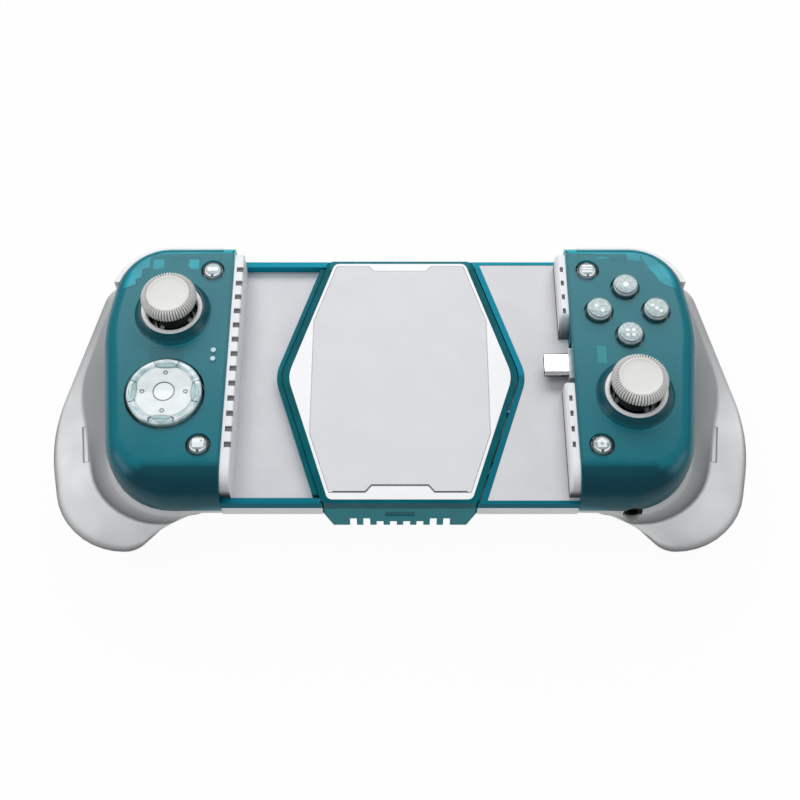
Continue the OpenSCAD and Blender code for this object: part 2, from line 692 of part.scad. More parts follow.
// Bumper and trigger
module bumper() {
    push_far = half_depth - bumper_depth;
    difference() {
        union() {
            translate([0, 0, bumper_low]) linear_extrude(bumper_top - bumper_low)
                bumper_area(bumper_proud, bumper_depth, bumper_end_y, bumper_start_x);
            translate([bumper_pin_at.x, bumper_pin_at.y, bumper_low]) cylinder(r = 1.7, h = bumper_top - bumper_low);
            translate([bumper_push_x - 1, board_far + 0.1, board_top + 3])
                cube([2, push_far - board_far + 0.4, 3]);
        }
        translate([bumper_pin_at.x, bumper_pin_at.y, bumper_low - over])
            cylinder(r = pin_radius + slip, h = bumper_top - bumper_low + 2 * over);
    }
}
module trigger() {
    far = trigger_face_radius;
    near = far - trigger_wall;
    c = trigger_centre;
    lip = arc_points(c + (near + trigger_wall / 2) * [cos(-18), sin(-18)], trigger_wall / 2, -18, -198, 6);
    difference() {
        union() {
            along_x(trigger_lo, trigger_hi)
                polygon(concat(arc_points(c, far, 60, -18, 13), lip, arc_points(c, near, -18, 62, 12)));
            along_x(trigger_lo, trigger_hi)
                polygon([trigger_pivot + [-1, hub_radius - 0.3], c + (far - 0.4) * [cos(57), sin(57)],
                    c + (near + 0.4) * [cos(30), sin(30)], trigger_pivot + [1, 0.3 - hub_radius]]);
            along_x(trigger_lo, trigger_hi) translate(trigger_pivot) circle(r = hub_radius);
            for (x = [trigger_lo, trigger_hi - trigger_wall]) along_x(x, x + trigger_wall)
                polygon(concat([trigger_pivot + [-1, 0.4 - hub_radius]], arc_points(c, far - 0.2, -16, 57, 10)));
        }
        along_x(trigger_lo - over, trigger_hi + over) translate(trigger_pivot) circle(r = pin_radius + slip);
    }
}
// Extrudes a Y-Z outline along X
module along_x(x0, x1) {
    translate([x0, 0, 0]) rotate([90, 0, 90]) linear_extrude(x1 - x0) children();
}
module trigger_with_spring_gap() {
    difference() {
        trigger();
        along_x(spring_lo - slide_gap, spring_hi + slide_gap) translate(trigger_pivot) circle(r = hub_radius + 1.4);
    }
}
module trigger_spring() {
    along_x(spring_lo, spring_hi) translate(trigger_pivot) difference() {
        circle(r = 2);
        circle(r = pin_radius + slip);
    }
    translate([spring_lo, pocket_y + 0.2, trigger_pivot.y - 2]) cube([0.5, trigger_pivot.x - pocket_y - 0.2, 0.5]);
}
module pivot_pins() {
    along_x(trigger_lo - cheek_t, trigger_hi + cheek_t) translate(trigger_pivot) circle(r = pin_radius);
    translate([bumper_pin_at.x, bumper_pin_at.y, split_z - 3.4])
        cylinder(r = pin_radius, h = bumper_top + 0.8 - split_z + 3.4);
}

// Rail beside the phone, with a profile that follows the pad
rail_inset = 0.7;
notch_pitch = 5.42;
notch_first = 36.4;
module rail_profile(floor_z) {
    end = tray_wall_in - slip;
    top = face_height - rail_inset;
    r = near_fillet - rail_inset;
    c = [near_fillet - half_depth, face_height - near_fillet];
    stop = 180 - acos((end + c.x) / r);
    polygon(concat([[end, floor_z], [end, top - 0.8], [end - 0.8, top]], arc_points(c, r, 90, stop, 8),
        [[-end, floor_z]]));
}
module rail(floor_z, notches, notch_x, notch_w) {
    difference() {
        along_x(rail_x, pad_x) rail_profile(floor_z);
        for (i = notches) translate([notch_x, notch_first - i * notch_pitch - 0.8, face_height - rail_inset - 0.9])
            cube([notch_w, 1.6, 2]);
        if ($children > 0) children();
    }
}

// Left half
module left() {
    mirror([1, 0, 0]) children();
}
light_places = [[pad_x + 4.4, 4.9], [pad_x + 4.4, 1.7]];
light_radius = 0.8;
teal = "#4f8f9a";
frost = "#b9bdc1";
paper = "#ececec";
clear = "#c9d4d8";
module left_front_shell() {
    color(teal) left() front_shell() {
        union() {
            translate([upper_at.x, upper_at.y, 0]) stick_collar();
            for (s = [-1, 1]) translate([0, 0, split_z]) linear_extrude(rim_z - split_z)
                tray_strip(s, tray_wall_in + 0.1, rim_root);
        }
        union() {
            translate([upper_at.x, upper_at.y, 0]) stick_well();
            face_hole(lower_at, dpad_radius + 0.65);
            for (p = light_places) face_hole(p, light_radius + slip);
        }
    }
}
module left_rear_shell() {
    color(frost) left() rear_shell(left_plate_low);
}
module left_slide_plate() {
    color(paper) {
        translate([0, 0, left_plate_low]) linear_extrude(plate_t) slide_plate_area();
        for (s = [-1, 1]) translate([spring_post_x, s * spring_y, left_floor_z - 0.5])
            cylinder(r = post_radius, h = 2.1);
    }
}
module left_tray_base() {
    color(paper) left() tray_base();
}
module left_rail() {
    color(paper) left() rail(left_floor_z, [0:12], rail_x - over, 2.2 + over);
}
module left_stick_ring() {
    color("white") left() translate([upper_at.x, upper_at.y, 0]) stick_ring_shape();
}
module left_stick_housing() {
    color("#3a3f44") left() translate([upper_at.x, upper_at.y, 0]) stick_housing_shape();
}
module left_circuit_board() {
    color("#1f5a48") left() circuit_board();
}
mat_t = 0.8;
module left_key_mat() {
    color("#d8d2c4") left() translate([lower_at.x, lower_at.y, board_top]) {
        difference() {
            cylinder(r = 11, h = mat_t);
            translate([0, 0, -over]) cylinder(r = 3, h = mat_t + 2 * over);
        }
        for (a = [0:90:270]) rotate([0, 0, a]) translate([8, 0, 0])
            cylinder(r = 2.4, h = face_height - 7.2 - board_top);
    }
}
module dpad_base() {
    color("white") left() translate([lower_at.x, lower_at.y, 0]) dpad_base_shape();
}
module left_pivot_pins() {
    color("silver") left() pivot_pins();
}
module left_trigger_spring() {
    color("silver") left() trigger_spring();
}
module status_lights() {
    color("white") left() for (p = light_places) translate([p.x, p.y, 0]) {
        translate([0, 0, under_face - 2.5]) cylinder(r = light_radius, h = shell_wall + 2.5);
        translate([0, 0, under_face - 1]) cylinder(r = light_radius + 0.6, h = 1);
    }
}
module left_screws() {
    color("silver") left() half_screws();
}
module left_stick_gimbal() {
    color("#8a8f94") left() translate([upper_at.x, upper_at.y, 0]) stick_gimbal_shape();
}
module left_stick_yoke() {
    color("#6a6f74") left() translate([upper_at.x, upper_at.y, 0]) stick_yoke_shape();
}
module left_stick_shaft() {
    color("#55595d") left() translate([upper_at.x, upper_at.y, 0]) stick_shaft_shape();
}
module left_stick_cap() {
    color(paper) left() translate([upper_at.x, upper_at.y, 0]) stick_cap_shape();
}
module dpad_pivot() {
    color("white") left() translate([lower_at.x, lower_at.y, 0]) dpad_pivot_shape();
}
module dpad() {
    color(clear) left() translate([lower_at.x, lower_at.y, 0]) dpad_shape();
}
module menu_button() {
    color(clear) left() small_button(small_far_at);
}
module capture_button() {
    color(clear) left() small_button(small_near_at);
}
module left_bumper() {
    color(paper) left() bumper();
}
module left_trigger() {
    color(paper) left() trigger_with_spring_gap();
}

// Right half
module right_front_shell() {
    color(teal) front_shell() {
        union() {
            translate([lower_at.x, lower_at.y, 0]) stick_collar();
            for (s = [-1, 1]) {
                translate([0, 0, split_z]) linear_extrude(right_floor_low - split_z)
                    tray_strip(s, tray_wall_in + 0.1, rim_root);
                translate([0, 0, split_z]) linear_extrude(rim_z - split_z)
                    tray_strip(s, floor_half + 0.1, rim_root);
            }
            translate([0, 0, right_floor_low]) linear_extrude(rim_z - right_floor_low) difference() {
                tray_area(bridge_gap, tray_half);
                tray_area(bridge_gap + 1.8, tray_half);
            }
            for (s = [-1, 1]) translate([carrier_pivot_x - 2, plug_y + s * (carrier_half + 1.6) - 1, plug_z - 2.6])
                cube([4, 2, under_face - plug_z + 2.6]);
        }
        union() {
            translate([lower_at.x, lower_at.y, 0]) stick_well();
            for (d = [[0, 1], [0, -1], [1, 0], [-1, 0]])
                face_hole(upper_at + face_arm * d, face_radius + button_gap);
            translate([pad_x - over, plug_y - carrier_window, plug_z - 4.6])
                cube([shell_wall + over, 2 * carrier_window, under_face - plug_z + 4.5]);
            translate([0, plug_y, plug_z]) translate([carrier_pivot_x, 0, 0])
                y_pin(carrier_pin + slip, -carrier_half - 5, carrier_half + 5);
            translate([pad_x - over, ribbon_y - ribbon_width / 2 - 0.5, split_z - over])
                cube([shell_wall + 2 * over, ribbon_width + 1, right_floor_low - split_z + over]);
            translate([jack_at.x, 0, jack_at.y]) y_pin(jack_collar + 0.2, -half_depth - 10, 6 - half_depth);
        }
    }
}
module right_rear_shell() {
    color(frost) rear_shell(right_slide_low)
        translate([jack_at.x, 0, jack_at.y]) y_pin(jack_collar + 0.2, -half_depth - 10, 6 - half_depth);
}
module right_tray() {
    color(paper) {
        translate([0, 0, right_floor_low]) linear_extrude(plate_t) tray_area(bridge_gap + 1.9, floor_half);
        for (s = [-1, 1]) translate([spring_anchor_x, s * spring_y, right_floor_low - 1.5])
            cylinder(r = post_radius, h = 2);
    }
}
module right_slide_plate() {
    color(paper) translate([0, 0, right_slide_low]) linear_extrude(lower_plate_t)
        rotate([0, 0, 180]) slide_plate_area();
}
module right_tray_base() {
    color(paper) tray_base();
}
module right_rail() {
    color(paper) rail(right_floor_z, [0, 1, 2, 3, 9, 10, 11, 12], rail_x + 1, 1.1)
        translate([rail_x - over, rail_gap[0], 0])
            cube([rail_width + 2 * over, rail_gap[1] - rail_gap[0], face_height + over]);
}
module right_stick_ring() {
    color("white") translate([lower_at.x, lower_at.y, 0]) stick_ring_shape();
}
module right_stick_housing() {
    color("#3a3f44") translate([lower_at.x, lower_at.y, 0]) stick_housing_shape();
}
connector_at = [pad_x + 8, 0.5];
module right_circuit_board() {
    color("#1f5a48") circuit_board() {
        translate([jack_at.x - 4, -half_depth, board_low - over]) cube([8, jack_length + 3, board_t + 2 * over]);
        translate([connector_at.x, connector_at.y, board_top]) cube([3, 6, 6.5]);
    }
}
module right_key_mat() {
    color("#d8d2c4") translate([upper_at.x, upper_at.y, board_top]) {
        cylinder(r = face_arm + 2.5, h = mat_t);
        for (a = [0:90:270]) rotate([0, 0, a]) translate([face_arm, 0, 0])
            cylinder(r = 3.2, h = button_stem_low - 1.7 - board_top);
    }
}
module right_pivot_pins() {
    color("silver") pivot_pins();
}
module right_trigger_spring() {
    color("silver") trigger_spring();
}
module audio_jack() {
    color("#222426") translate([jack_at.x, 0, jack_at.y]) difference() {
        union() {
            y_pin(jack_collar, 0.3 - half_depth, 3.4 - half_depth);
            translate([-3.4, 3 - half_depth, -2.8]) cube([6.8, jack_length, 5.6]);
        }
        y_pin(jack_bore, -half_depth - over, jack_length - half_depth);
    }
}
module right_screws() {
    color("silver") half_screws();
}
module return_springs() {
    z = left_floor_z + 0.95;
    color("silver") for (s = [-1, 1]) translate([0, s * spring_y, z]) {
        for (x = [spring_post_x, spring_anchor_x]) translate([x, 0, -0.15]) difference() {
            cylinder(r = post_radius + 0.45, h = 0.3);
            translate([0, 0, -over]) cylinder(r = post_radius + slip, h = 2 * over);
        }
        x_pin(spring_radius, spring_post_x + 0.9, spring_anchor_x - 0.9);
    }
}
module link_ribbon() {
    low = left_floor_z + 0.02;
    high = right_floor_low - 0.02;
    end = plate_end_x - 3;
    drop_x = board_x + 0.3;
    bend = (high - low) / 2;
    mid = [ribbon_turn_x, (low + high) / 2];
    color("#c98a3a") translate([0, ribbon_y + ribbon_width / 2, 0]) rotate([90, 0, 0]) linear_extrude(ribbon_width)
        polygon(concat([[end, low], [end, low + ribbon_t]],
            arc_points(mid, bend - ribbon_t, -90, -270, 8),
            [[drop_x, high - ribbon_t], [drop_x, board_top], [drop_x + ribbon_t, board_top], [drop_x + ribbon_t, high]],
            arc_points(mid, bend, -270, -90, 8)));
}
module right_stick_gimbal() {
    color("#8a8f94") translate([lower_at.x, lower_at.y, 0]) stick_gimbal_shape();
}
module right_stick_yoke() {
    color("#6a6f74") translate([lower_at.x, lower_at.y, 0]) stick_yoke_shape();
}
module right_stick_shaft() {
    color("#55595d") translate([lower_at.x, lower_at.y, 0]) stick_shaft_shape();
}
module right_stick_cap() {
    color(paper) translate([lower_at.x, lower_at.y, 0]) stick_cap_shape();
}
module face_button_north() {
    color(clear) face_button(0, 1);
}
module face_button_south() {
    color(clear) face_button(0, -1);
}
module face_button_east() {
    color(clear) face_button(1, 0);
}
module face_button_west() {
    color(clear) face_button(-1, 0);
}
module options_button() {
    color(clear) small_button(small_far_at);
}
module home_button() {
    color(clear) small_button(small_near_at);
}
module right_bumper() {
    color(paper) bumper();
}
module right_trigger() {
    color(paper) trigger_with_spring_gap();
}

// Plug on its tilting carrier
module plug_area(width, thick) {
    square([width - thick, thick], center = true);
    for (s = [-1, 1]) translate([s * (width - thick) / 2, 0]) circle(r = thick / 2);
}
plug_wall = 0.32;
plug_buried = 5;
module usb_plug() {
    color("silver") translate([plug_root_x + plug_buried, plug_y, plug_z]) rotate([90, 0, -90]) difference() {
        linear_extrude(plug_buried + rail_width - 1.2 + plug_reach) plug_area(plug_width, plug_thick);
        translate([0, 0, plug_buried]) linear_extrude(20)
            plug_area(plug_width - 2 * plug_wall, plug_thick - 2 * plug_wall);
    }
}
module usb_carrier() {
    color(clear) translate([0, plug_y, 0]) difference() {
        union() {
            translate([plug_root_x, -carrier_half, carrier_low])
                cube([carrier_pivot_x + 2 - plug_root_x, 2 * carrier_half, carrier_top - carrier_low]);
            translate([carrier_pivot_x, 0, plug_z]) y_pin(carrier_pin, -carrier_half - 2.5, carrier_half + 2.5);
        }
        translate([plug_root_x + plug_buried, 0, plug_z]) rotate([90, 0, -90]) linear_extrude(20)
            plug_area(plug_width + 2 * slip, plug_thick + 2 * slip);
    }
}

// Bridge
lip_width = 1.9;
lip_groove = 0.35;
lip_root_z = rim_z - 0.6;
module left_lip_area(inside) {
    intersection() {
        difference() {
            bridge_outline(lip_width);
            bridge_outline(inside);
        }
        translate([-60, 1 - tray_wall_in]) square([50, 2 * tray_wall_in - 2]);
    }
}
module bridge_frame() {
    slot_w = 2.15;
    skirt_t = 1.6;
    skirt_low = deck_z - comb_height;
    color(teal) {
        translate([0, 0, bridge_plate_low]) linear_extrude(deck_z - bridge_plate_low) difference() {
            bridge_outline(0);
            bridge_opening(0);
        }
        translate([0, 0, frame_low]) linear_extrude(frame_ledge_t) difference() {
            bridge_outline(0);
            bridge_outline(-3.4);
        }
        translate([0, 0, left_floor_z + run_gap]) linear_extrude(lip_root_z - left_floor_z - run_gap)
            left_lip_area(-1.2);
        translate([0, 0, lip_root_z - over]) linear_extrude(rim_z - lip_root_z + over) left_lip_area(lip_groove);
        for (s = [0, 1]) mirror([0, s, 0]) {
            translate([0, 0, bridge_base_low]) linear_extrude(frame_low - bridge_base_low) intersection() {
                bridge_outline(0);
                translate([-60, tray_wall_in]) square([120, 20]);
            }
            difference() {
                translate([0, tray_half, 0]) rotate([90, 0, 0]) linear_extrude(skirt_t)
                    polygon([[-bridge_end_half, bridge_base_low + 2], [-bridge_end_half + 3, skirt_low],
                        [bridge_end_half - 3, skirt_low], [bridge_end_half, bridge_base_low + 2]]);
                for (i = [-3.5:1:3.5]) translate([i * comb_pitch - slot_w / 2, tray_half - 10, skirt_low - over])
                    cube([slot_w, 20, over + (abs(i) > 2 ? 5 : 2.8)]);
                translate([0, tray_half, bridge_base_low - 0.6]) {
                    translate([-4, -10, -0.7]) cube([8, 20, 1.4]);
                    for (x = [-4, 4]) translate([x, 0, 0]) y_pin(0.7, -10, 10);
                }
            }
        }
    }
}
panel_border = 1.2;
panel_near = near_strip + 2.5;
panel_half = 28.4;
pad_recess = 0.5;
// Cut-outs of the phone pad at its two ends
tab_half = 8.85;
tab_lean = 1.9;
tab_depth = [2, 2.25];
module panel_area(grow) {
    far = tray_half - far_strip - panel_border;
    near = panel_near - tray_half;
    intersection() {
        bridge_opening(grow - panel_border);
        difference() {
            translate([-panel_half - grow, near - grow]) square([2 * (panel_half + grow), 2 * tray_half]);
            offset(delta = -grow) polygon([[-tab_half - tab_lean, far], [-tab_half, far - tab_depth[0]],
                [tab_half, far - tab_depth[0]], [tab_half + tab_lean, far], [0, tray_half + 20]]);
            offset(delta = -grow) polygon([[-tab_half - tab_lean, near], [-tab_half, near + tab_depth[1]],
                [tab_half, near + tab_depth[1]], [tab_half + tab_lean, near], [0, -tray_half - 20]]);
        }
    }
}
module bridge_plate() {
    color("white") difference() {
        union() {
            translate([0, 0, bridge_plate_low]) linear_extrude(plate_t) bridge_opening(-slip);
            for (s = [-1, 1]) translate([0, s * guide_y, bridge_base_top])
                cylinder(r = guide_radius, h = bridge_plate_low - bridge_base_top + 0.2);
        }
        translate([0, 0, bridge_plate_top - pad_recess]) linear_extrude(over) panel_area(0.25);
        for (s = [-1, 1]) translate([0, s * guide_y, bridge_base_top - over])
            cylinder(r = screw_radius + slip, h = 5);
    }
}
module phone_pad() {
    color("#d9d9dd") translate([0, 0, bridge_plate_top - pad_recess])
        linear_extrude(deck_z - bridge_plate_top + pad_recess) panel_area(0);
}
axle_radius = 1.5;
module bridge_base() {
    color("white") difference() {
        union() {
            translate([0, 0, bridge_base_low]) linear_extrude(bridge_base_top - bridge_base_low) intersection() {
                bridge_outline(-0.2);
                translate([-60, -tray_wall_in]) square([120, 2 * tray_wall_in]);
            }
            translate([0, 0, bridge_base_top - 0.5]) cylinder(r = axle_radius, h = bridge_plate_low - bridge_base_top + 0.3);
        }
        for (s = [-1, 1]) translate([0, s * guide_y, bridge_base_low - over]) {
            cylinder(r = screw_radius + 0.2, h = 10);
            cylinder(r = head_radius + 0.2, h = over + 0.9);
        }
    }
}
module bridge_screws() {
    color("silver") for (s = [-1, 1]) translate([0, s * guide_y, 0])
        intersection() {
            screw(bridge_base_low + 0.9, bridge_base_top + 3.6);
            translate([0, 0, bridge_base_low]) cylinder(r = 5, h = 20);
        }
}

// Pinion with involute flanks
function involute(base, r) = let (t = sqrt(r * r / (base * base) - 1)) t * 180 / PI - atan(t);
module sync_pinion() {
    base = pinion_radius * cos(pressure);
    tip = pinion_radius + pinion_addendum;
    root = pinion_radius - 0.95 * tooth_module;
    half = 90 / teeth - backlash / 2 / pinion_radius * 90 / PI + involute(base, pinion_radius);
    radii = [for (i = [0:4]) base + (tip - base) * i / 4];
    tooth = concat([[root, -half]], [for (r = radii) [r, involute(base, r) - half]],
        [for (i = [4:-1:0]) [radii[i], half - involute(base, radii[i])]], [[root, half]]);
    color("#e6c15a") difference() {
        union() {
            translate([0, 0, right_slide_low - 0.1]) linear_extrude(left_floor_z - right_slide_low + 0.2)
                polygon([for (k = [0:teeth - 1]) each [for (p = tooth)
                    p[0] * [cos(90 + p[1] + 360 * k / teeth), sin(90 + p[1] + 360 * k / teeth)]]]);
            translate([0, 0, right_slide_low]) cylinder(r = 3, h = bridge_plate_low - 0.3 - right_slide_low);
        }
        translate([0, 0, right_slide_low - over]) cylinder(r = axle_radius + slip, h = 20);
    }
}

bridge_frame();
bridge_plate();
phone_pad();
bridge_base();
bridge_screws();
sync_pinion();
left_front_shell();
left_rear_shell();
left_slide_plate();
left_tray_base();
left_rail();
left_stick_ring();
left_stick_housing();
left_circuit_board();
left_key_mat();
dpad_base();
left_pivot_pins();
left_trigger_spring();
status_lights();
left_screws();
left_stick_gimbal();
left_stick_yoke();
left_stick_shaft();
left_stick_cap();
dpad_pivot();
dpad();
menu_button();
capture_button();
left_bumper();
left_trigger();
right_front_shell();
right_rear_shell();
right_tray();
right_slide_plate();
right_tray_base();
right_rail();
right_stick_ring();
right_stick_housing();
right_circuit_board();
right_key_mat();
right_pivot_pins();
right_trigger_spring();
audio_jack();
right_screws();
return_springs();
link_ribbon();
right_stick_gimbal();
right_stick_yoke();
right_stick_shaft();
right_stick_cap();
face_button_north();
face_button_south();
face_button_east();
face_button_west();
options_button();
home_button();
right_bumper();
right_trigger();
usb_carrier();
usb_plug();
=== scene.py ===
"""Looks for the telescopic phone controller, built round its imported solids.

The hand pads are tinted clear shells over a grey inner frame, the grips are frosted, and the keys are clear
caps over silver cores. The finishes take places in metres, as the Object coordinates have them. Lengths of
the meshes are written in millimetres and turned into metres where a mesh is made.
"""

from __future__ import annotations

import json
import logging
import math
from dataclasses import dataclass
from enum import Enum

import bmesh
import bpy
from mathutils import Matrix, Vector

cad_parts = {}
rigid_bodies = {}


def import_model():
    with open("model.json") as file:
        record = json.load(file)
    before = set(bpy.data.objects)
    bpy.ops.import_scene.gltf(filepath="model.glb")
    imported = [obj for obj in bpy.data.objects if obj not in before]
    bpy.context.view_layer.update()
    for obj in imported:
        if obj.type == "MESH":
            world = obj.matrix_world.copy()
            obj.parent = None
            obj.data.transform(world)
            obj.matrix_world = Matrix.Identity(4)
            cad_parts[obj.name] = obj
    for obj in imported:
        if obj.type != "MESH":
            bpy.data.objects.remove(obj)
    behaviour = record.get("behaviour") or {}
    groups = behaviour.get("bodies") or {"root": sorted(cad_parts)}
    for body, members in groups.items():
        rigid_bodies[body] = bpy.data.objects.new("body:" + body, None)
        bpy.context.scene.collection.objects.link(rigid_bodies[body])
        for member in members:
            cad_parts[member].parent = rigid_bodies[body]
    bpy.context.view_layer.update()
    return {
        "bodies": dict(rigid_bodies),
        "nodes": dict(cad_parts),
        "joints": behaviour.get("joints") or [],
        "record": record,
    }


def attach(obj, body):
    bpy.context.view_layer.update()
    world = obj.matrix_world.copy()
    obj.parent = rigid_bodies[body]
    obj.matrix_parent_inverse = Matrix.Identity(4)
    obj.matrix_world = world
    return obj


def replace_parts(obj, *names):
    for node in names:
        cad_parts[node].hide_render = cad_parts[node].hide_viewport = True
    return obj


LOG = logging.getLogger("controller")
MM = 0.001
Colour = tuple[float, float, float]
Point = tuple[float, float]
Place = tuple[float, float, float]
Span = tuple[float, float]
Socket = bpy.types.NodeSocket
Mesh = bpy.types.Mesh


class Side(Enum):
    """The two hands, each with the sign of its X."""

    LEFT = -1
    RIGHT = 1

    @property
    def word(self) -> str:
        """The hand's name as the solids use it."""
        return self.name.lower()

    @property
    def body(self) -> str:
        """The body that this hand's shells belong to."""
        return f"{self.word}_half"

    def flip(self, points: list[Point]) -> list[Point]:
        """Right-hand points, mirrored for the left hand."""
        return [(self.value * x, y) for x, y in points]


class NodeBench:
    """Adds nodes to one tree and links them."""

    def __init__(self, tree: bpy.types.NodeTree) -> None:
        """Starts on a tree."""
        self.tree = tree

    def add(self, kind: str, inputs: dict | None = None, **settings: object) -> bpy.types.Node:
        """Adds a node.

        Args:
            kind: Blender's type name of the node.
            inputs: a socket or a plain value for each input, by its name or number.
            settings: attributes to set on the node.

        Returns:
            The new node.
        """
        node = self.tree.nodes.new(kind)
        for key, value in settings.items():
            setattr(node, key, value)
        for key, value in (inputs or {}).items():
            if isinstance(value, Socket):
                self.tree.links.new(value, node.inputs[key])
            else:
                node.inputs[key].default_value = value
        return node


class ShaderBench(NodeBench):
    """Builds one material's tree."""

    def __init__(self, name: str) -> None:
        """Starts an empty tree in a new material.

        Args:
            name: the material's name.
        """
        self.material = bpy.data.materials.new(name)
        self.material.use_nodes = True
        super().__init__(self.material.node_tree)
        self.tree.nodes.clear()

    def axis(self, name: str) -> Socket:
        """One Object coordinate of the point on the surface."""
        place = self.add("ShaderNodeTexCoord").outputs["Object"]
        return self.add("ShaderNodeSeparateXYZ", {0: place}).outputs[name]

    def sideways(self, normal: str) -> Socket:
        """How much the surface looks along X, either way, by the normal of that name."""
        looks = self.add("ShaderNodeNewGeometry").outputs[normal]
        return self.math("ABSOLUTE", self.add("ShaderNodeSeparateXYZ", {0: looks}).outputs["X"])

    def noise(self, scale: float, detail: float = 2.0) -> Socket:
        """A noise pattern fixed to the object.

        Args:
            scale: how many features fit in a metre.
            detail: how many finer layers it has.

        Returns:
            The pattern's value.
        """
        place = self.add("ShaderNodeTexCoord").outputs["Object"]
        inputs = {"Scale": scale, "Detail": detail, "Vector": place}
        return self.add("ShaderNodeTexNoise", inputs).outputs["Fac"]

    def spread(self, value: Socket, low: float, high: float, start: float = 0.0, end: float = 1.0) -> Socket:
        """Maps a value, clamped, so that start becomes low and end becomes high."""
        ranges = {"Value": value, "From Min": start, "From Max": end, "To Min": low, "To Max": high}
        return self.add("ShaderNodeMapRange", ranges).outputs["Result"]

    def rise(self, value: Socket, span: Span) -> Socket:
        """0 below a span of values and 1 above it."""
        return self.spread(value, 0.0, 1.0, *span)

    def fall(self, value: Socket, span: Span) -> Socket:
        """1 below a span of values and 0 above it."""
        return self.spread(value, 1.0, 0.0, *span)

    def mix(self, share: Socket, first: object, second: object) -> Socket:
        """Mixes two colours, each a socket or a plain colour; the share is the second one's."""
        first, second = (c if isinstance(c, Socket) else (*c, 1.0) for c in (first, second))
        return self.add("ShaderNodeMix", {0: share, 6: first, 7: second}, data_type="RGBA").outputs[2]

    def math(self, operation: str, *values: object) -> Socket:
        """Blender's math operation of that name, on sockets and plain numbers."""
        return self.add("ShaderNodeMath", dict(enumerate(values)), operation=operation).outputs[0]

    def shaders(self, share: object, first: Socket, second: Socket) -> Socket:
        """Mixes two shaders; the share, a socket or a number, is the second one's."""
        return self.add("ShaderNodeMixShader", {0: share, 1: first, 2: second}).outputs[0]

    def done(self, shader: Socket) -> bpy.types.Material:
        """Adds the output, links the shader to it and returns the material."""
        self.add("ShaderNodeOutputMaterial", {"Surface": shader})
        return self.material


@dataclass(frozen=True)
class Finish:
    """A moulded surface with faint mottling, uneven gloss and a fine grain."""

    name: str
    colour: Colour
    shade: Colour
    roughness: float
    gloss_spread: float = 0.06
    gloss_ratio: float = 2.3
    mottle: float = 90.0
    patches: Span = (0.35, 0.65)
    grain: float = 2600.0
    grain_detail: float = 3.0
    grain_height: float = 0.000004
    grain_strength: float = 0.5
    metallic: float = 0.0
    shine: float = 0.5

    def tone(self, bench: ShaderBench) -> Socket:
        """The surface's colour, mottled between its two tones."""
        return bench.mix(bench.rise(bench.noise(self.mottle), self.patches), self.colour, self.shade)

    def solid(self, bench: ShaderBench) -> Socket:
        """The solid shader, with its gloss and its grain.

        Args:
            bench: the material's tree.

        Returns:
            The shader.
        """
        gloss = bench.spread(bench.noise(self.mottle * self.gloss_ratio), self.roughness - self.gloss_spread,
                             self.roughness + self.gloss_spread)
        bump = bench.add("ShaderNodeBump", {"Strength": self.grain_strength, "Distance": self.grain_height,
                                            "Height": bench.noise(self.grain, self.grain_detail)})
        return bench.add("ShaderNodeBsdfPrincipled", {
            "Base Color": self.tone(bench), "Roughness": gloss, "Metallic": self.metallic,
            "Specular IOR Level": self.shine, "Normal": bump.outputs["Normal"]}).outputs["BSDF"]

    def surface(self, bench: ShaderBench) -> Socket:
        """The whole shader, which is the solid one unless the finish is clear."""
        return self.solid(bench)

    def material(self) -> bpy.types.Material:
        """The finish as a Blender material, made once.

        Returns:
            The material.
        """
        label = f"{self.name}_finish"
        found = bpy.data.materials.get(label)
        if found is not None:
            return found
        bench = ShaderBench(label)
        return bench.done(self.surface(bench))


@dataclass(frozen=True)
class ClearFinish(Finish):
    """A tinted clear plastic: part of it shows what lies behind, and its gloss stays whole.

    A wall tints once, on the face that light enters; the face behind it lets everything through.
    """

    shine: float = 0.0
    tint: Colour = (0.9, 0.95, 0.96)
    body: float = 0.3
    gloss: float = 0.08
    index: float = 1.45

    def share(self, bench: ShaderBench) -> object:
        """How much of the solid shader shows, a number or a socket."""
        return self.body

    def sheen(self, bench: ShaderBench, fresnel: Socket) -> Socket:
        """How much of the gloss shows."""
        return fresnel

    def surface(self, bench: ShaderBench) -> Socket:
        """The solid shader mixed with clear, under a gloss, on the faces that look outwards.

        Args:
            bench: the material's tree.

        Returns:
            The shader.
        """
        clear = bench.add("ShaderNodeBsdfTransparent", {"Color": (*self.tint, 1.0)})
        outer = bench.shaders(self.share(bench), clear.outputs[0], self.solid(bench))
        shine = bench.add("ShaderNodeBsdfGlossy", {"Roughness": self.gloss})
        fresnel = bench.add("ShaderNodeFresnel", {"IOR": self.index})
        glossed = bench.shaders(self.sheen(bench, fresnel.outputs[0]), outer, shine.outputs[0])
        inside = bench.add("ShaderNodeBsdfTransparent")
        back = bench.add("ShaderNodeNewGeometry").outputs["Backfacing"]
        return bench.shaders(back, glossed, inside.outputs[0])


@dataclass(frozen=True)
class SteppedFinish(Finish):
    """A moulded surface that changes tone below a level; the lower tone is painted shade, and on the plated
    plug a painted dark reflection.
    """

    # The lower tone: painted shade, and on the plated plug a painted dark reflection
    below: Colour = (0.4, 0.4, 0.42)
    level: float = 0.0472
    blend: float = 0.0002

    def tone(self, bench: ShaderBench) -> Socket:
        """The upper tone above the level and the painted darker one below it."""
        upper = bench.rise(bench.axis("Z"), (self.level - self.blend, self.level))
        return bench.mix(upper, self.below, super().tone(bench))


